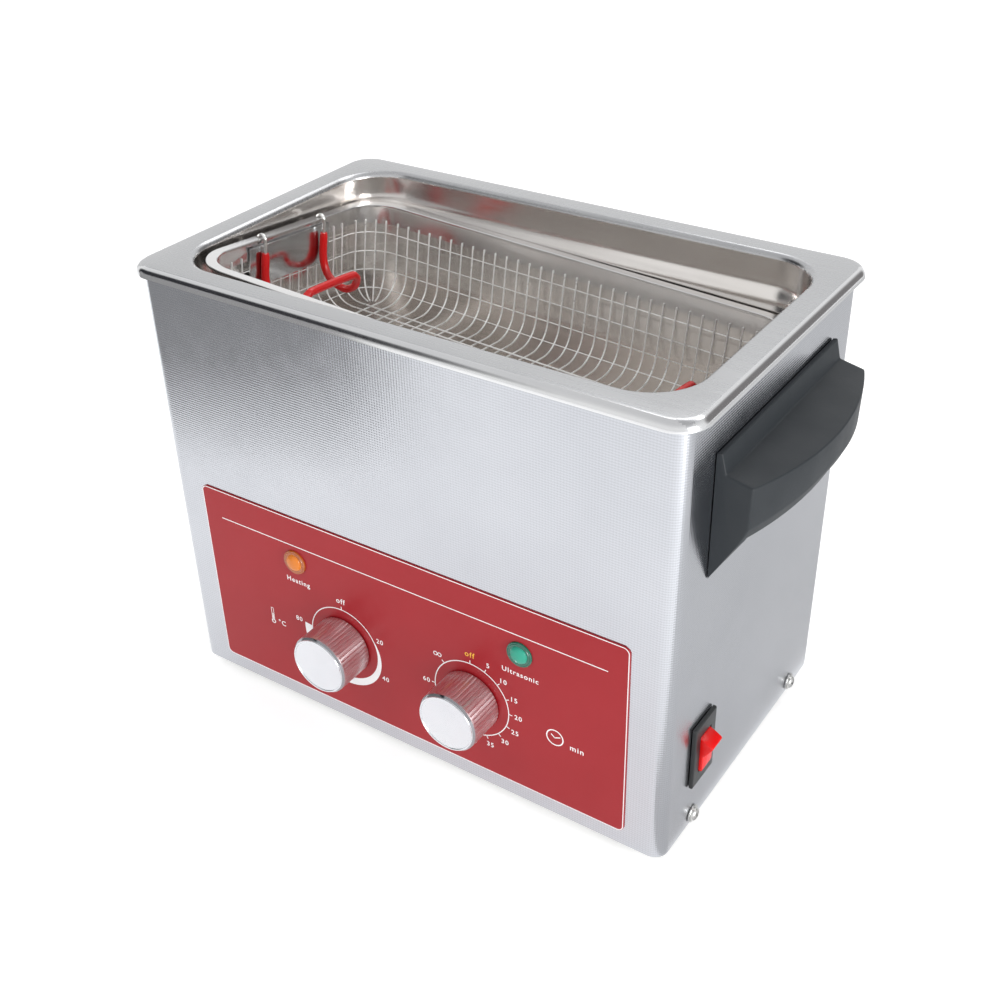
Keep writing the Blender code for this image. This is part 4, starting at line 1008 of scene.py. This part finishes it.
def make_wires():
    """The basket's woven wires: wires across it both ways, short ones round its corners, and hoops."""
    half_x, half_y, corner = TRAY
    straight_x, straight_y = half_x - corner, half_y - corner
    drop = tray_drop()
    wires = []
    for straight, half, spots, lift in ((straight_x, half_y, (20, 0, -20), 0),
                                        (straight_y, half_x, (60, 20, -20, -60), 2 * WIRE)):
        count = int(straight / WIRE_PITCH)
        for step in range(-count, count + 1):
            place = step * WIRE_PITCH
            side = [(place, half - HOOP_GAP - inset, height + lift) for inset, height in drop]
            path = side + [(place, spot, lift - BASKET_DEPTH) for spot in spots]
            path += [(place, -reach, height) for place, reach, height in side[::-1]]
            if lift:
                path = [(reach, place, height) for place, reach, height in path]
            wires.append(bar([Vector(point) for point in path], WIRE, 6))
    for side_x, side_y in ((-1, -1), (-1, 1), (1, -1), (1, 1)):
        for angle in quarter(5)[1:-1]:
            path = []
            for inset, height in drop:
                reach = corner - HOOP_GAP - inset
                path.append(Vector((side_x * (straight_x + reach * math.cos(angle)),
                                    side_y * (straight_y + reach * math.sin(angle)), height)))
            wires.append(bar(path, WIRE, 6))
    hoops = [(0, -BAND_DEPTH - HOOP_PITCH * (step + 0.5)) for step in range(3)] + [drop[7]]
    for inset, height in hoops:
        ring = rounded_ring(half_x - inset, half_y - inset, corner - inset, height, 10, 6)
        wires.append(hoop(ring, HOOP_WIRE, 6))
    seat_piece("basket_wires", gathered(wires), "woven_wire", "basket",
               ["basket_mesh"], 60)


def make_end_plates():
    for name, side in (("left", -1), ("right", 1)):
        near, far = sorted((side * 112.0, side * 111.2))
        plate = block((near, -27, -22), (far, 27, -3.8), 0.2)
        seat_piece(f"end_plate_{name}", plate, "spangled_plate", "basket",
                   [f"basket_end_plate_{name}"])


def bail_path():
    """A bail's centre line as (inward, along, up) from its pivot line: a hook, the grip, and a hook."""
    hook = []
    for step in range(25):
        angle = math.radians(235.0 * (1 - step / 24))
        hook.append(HOOK * Vector((math.cos(angle), 0, math.sin(angle))))
    leg = [(HOOK, -6.0), (HOOK, -19.0), (5.6, -26.8), (14.0, -30.2), (20.2, -27.8)]
    half = [(inward, -BAIL_HALF_Y, up) for inward, up in leg]
    half += [(22.7, -BAIL_HALF_Y + 0.8, -23.4), (23.6, -BAIL_HALF_Y + 3.6, -20.6),
             (23.8, -BAIL_HALF_Y + 8.0, -19.6)]
    grip = smooth_path(half + [(inward, -along, up) for inward, along, up in half[::-1]], 8)
    near = [point + Vector((0, -BAIL_HALF_Y, 0)) for point in hook]
    far = [point + Vector((0, BAIL_HALF_Y, 0)) for point in hook[::-1]]
    return near, grip, far


def make_bail(name, side):
    """A hooked wire, and a sleeve round its grip with slightly rounded ends."""
    near, grip, far = bail_path()
    wire = bar(near + grip + far, BAIL_WIRE, 14)
    radii = [SLEEVE - 0.35, SLEEVE - 0.05] + [SLEEVE] * (len(grip) - 4) + [SLEEVE - 0.05, SLEEVE - 0.35]
    sleeve = skin(path_rings(grip, radii, 18))
    for suffix, mesh, material, slot in (("wire", wire, "bright_wire", "polished_steel"),
                                         ("sleeve", sleeve, "red_sleeve", "red_sleeve")):
        if side > 0:
            mesh = mirrored(mesh)
        mesh.transform(Matrix.Translation((side * PIVOT_X, 0, -FLANGE_THICKNESS / 2)))
        seat_piece(f"{name}_bail_{suffix}_round", mesh, material, f"{name}_bail",
                   [f"{name}_bail_{suffix}"], 50)


# ------------------------ setting

CAMERA_PLACE = Vector((291.79, -426.13, 432.25)) + SHIFT
CAMERA_TURN = (34.412, 32.991, -1.431)  # azimuth, elevation and roll
CAMERA_LENS = 48.37


def make_camera():
    data = bpy.data.cameras.new("camera")
    data.lens = CAMERA_LENS
    data.sensor_width = 36.0
    data.clip_start, data.clip_end = 0.01, 50
    camera = linked("camera", data)
    azimuth, elevation, roll = (math.radians(value) for value in CAMERA_TURN)
    back = Vector((math.sin(azimuth) * math.cos(elevation), -math.cos(azimuth) * math.cos(elevation),
                   math.sin(elevation)))
    level = Vector((math.cos(azimuth), math.sin(azimuth), 0))
    above = back.cross(level)
    side = level * math.cos(roll) + above * math.sin(roll)
    top = above * math.cos(roll) - level * math.sin(roll)
    turn = Matrix((side, top, back)).transposed().to_4x4()
    camera.matrix_world = Matrix.Translation(CAMERA_PLACE * MM) @ turn
    bpy.context.scene.camera = camera


def make_light(name, place, target, size, power, glossy=True):
    data = bpy.data.lights.new(name, "AREA")
    data.shape = "RECTANGLE"
    data.size, data.size_y = size
    data.energy = power
    light = linked(name, data)
    light.location = place
    light.rotation_euler = (Vector(target) - Vector(place)).to_track_quat("-Z", "Y").to_euler()
    light.visible_camera = False
    light.visible_glossy = glossy


def make_floor():
    mesh = bmesh.new()
    bmesh.ops.create_grid(mesh, x_segments=2, y_segments=2, size=12)
    finish = Finish("floor_paper", Roughness=0.9, Emission_Color=(1, 1, 1, 1), Emission_Strength=0.30)
    finish.colour(finish.tones(3, 2, (0.90,) * 3, (0.93,) * 3))
    floor = linked("floor", mesh_data("floor", mesh))
    floor.data.materials.append(MATERIALS["floor_paper"])
    floor.location.z = -0.0005


def make_flag(name, shade, corners):
    """A grey card that is seen only in reflections."""
    mesh = bmesh.new()
    mesh.faces.new([mesh.verts.new(point) for point in corners])
    finish = Finish(f"{name}_cloth", Roughness=1.0)
    finish.colour(finish.tones(20, 2, (shade,) * 3, (shade * 1.1,) * 3))
    flag = linked(name, mesh_data(name, mesh))
    flag.data.materials.append(MATERIALS[f"{name}_cloth"])
    flag.visible_camera = False
    flag.visible_shadow = False
    flag.visible_diffuse = False


def make_flags():
    """One upright card at the front left, and one that lies behind and right of the object."""
    near, far, tall = (-0.25, -0.40), (-0.54, -0.16), 0.34
    make_flag("flag_left", 0.27, ((*far, 0), (*near, 0), (*near, tall), (*far, tall)))
    low, left, right, front, back = 0.002, 0.131, 1.4, -0.13, 1.4
    make_flag("flag_right", 0.66, ((left, front, low), (right, front, low), (right, back, low),
                                   (left, back, low)))


WHITE = (1.0, 1.0, 1.0)
WORLD_STRENGTH = 1.0
# towards, where the patch starts and is full as a cosine, and its colour
STUDIO_PATCHES = (
    ((0, 0, 1), 0.35, 0.95, (0.74, 0.74, 0.75)),
    ((-0.83, -0.44, 0.34), 0.855, 0.925, (0.035, 0.035, 0.04)),
    ((0.55, 0.80, 0.25), 0.86, 0.97, (0.25, 0.24, 0.24)),
)


def make_world():
    """A white studio, greyer overhead and dark at the left and behind on the right, seen as plain white."""
    world = bpy.data.worlds.new("studio")
    bpy.context.scene.world = world
    world.use_nodes = True
    tree = world.node_tree
    direction = add_node(tree, "ShaderNodeTexCoord").outputs["Generated"]
    shade = WHITE
    for towards, start, end, colour in STUDIO_PATCHES:
        dot = add_node(tree, "ShaderNodeVectorMath", {0: direction, 1: Vector(towards).normalized()},
                       operation="DOT_PRODUCT").outputs["Value"]
        ramp = add_node(tree, "ShaderNodeMapRange", {"Value": dot, "From Min": start, "From Max": end},
                        interpolation_type="SMOOTHSTEP")
        shade = mixed(tree, ramp.outputs["Result"], shade, colour)
    seen = add_node(tree, "ShaderNodeLightPath").outputs["Is Camera Ray"]
    background = tree.nodes["Background"]
    tree.links.new(mixed(tree, seen, shade, WHITE), background.inputs["Color"])
    background.inputs["Strength"].default_value = WORLD_STRENGTH


def make_lights():
    make_light("key_left", (-0.9, -0.9, 1.3), (0, 0, 0.1), (0.9, 0.9), 6, glossy=False)
    make_light("fill_right", (1.3, -0.36, 0.38), (0, 0, 0.08), (0.5, 0.6), 11)
    make_light("top_back", (0.1, 0.9, 1.5), (0, 0, 0.15), (1.4, 0.5), 5)


# ------------------------ build

make_materials()
dress_cad_nodes()
make_tank()
make_housing()
for hand in ("left", "right"):
    make_handle(hand)
make_label()
make_print()
make_knob("temperature_knob", "temperature_control")
make_knob("timer_knob", "timer_control")
make_lamp("heating_lamp", HEATING_LAMP, "amber")
make_lamp("ultrasonic_lamp", ULTRASONIC_LAMP, "green")
make_switch()
make_side_screws()
make_feet()
make_flange()
make_wires()
make_end_plates()
make_bail("left", -1)
make_bail("right", 1)
make_camera()
make_floor()
make_flags()
make_world()
make_lights()
bpy.context.scene.view_settings.view_transform = "Standard"
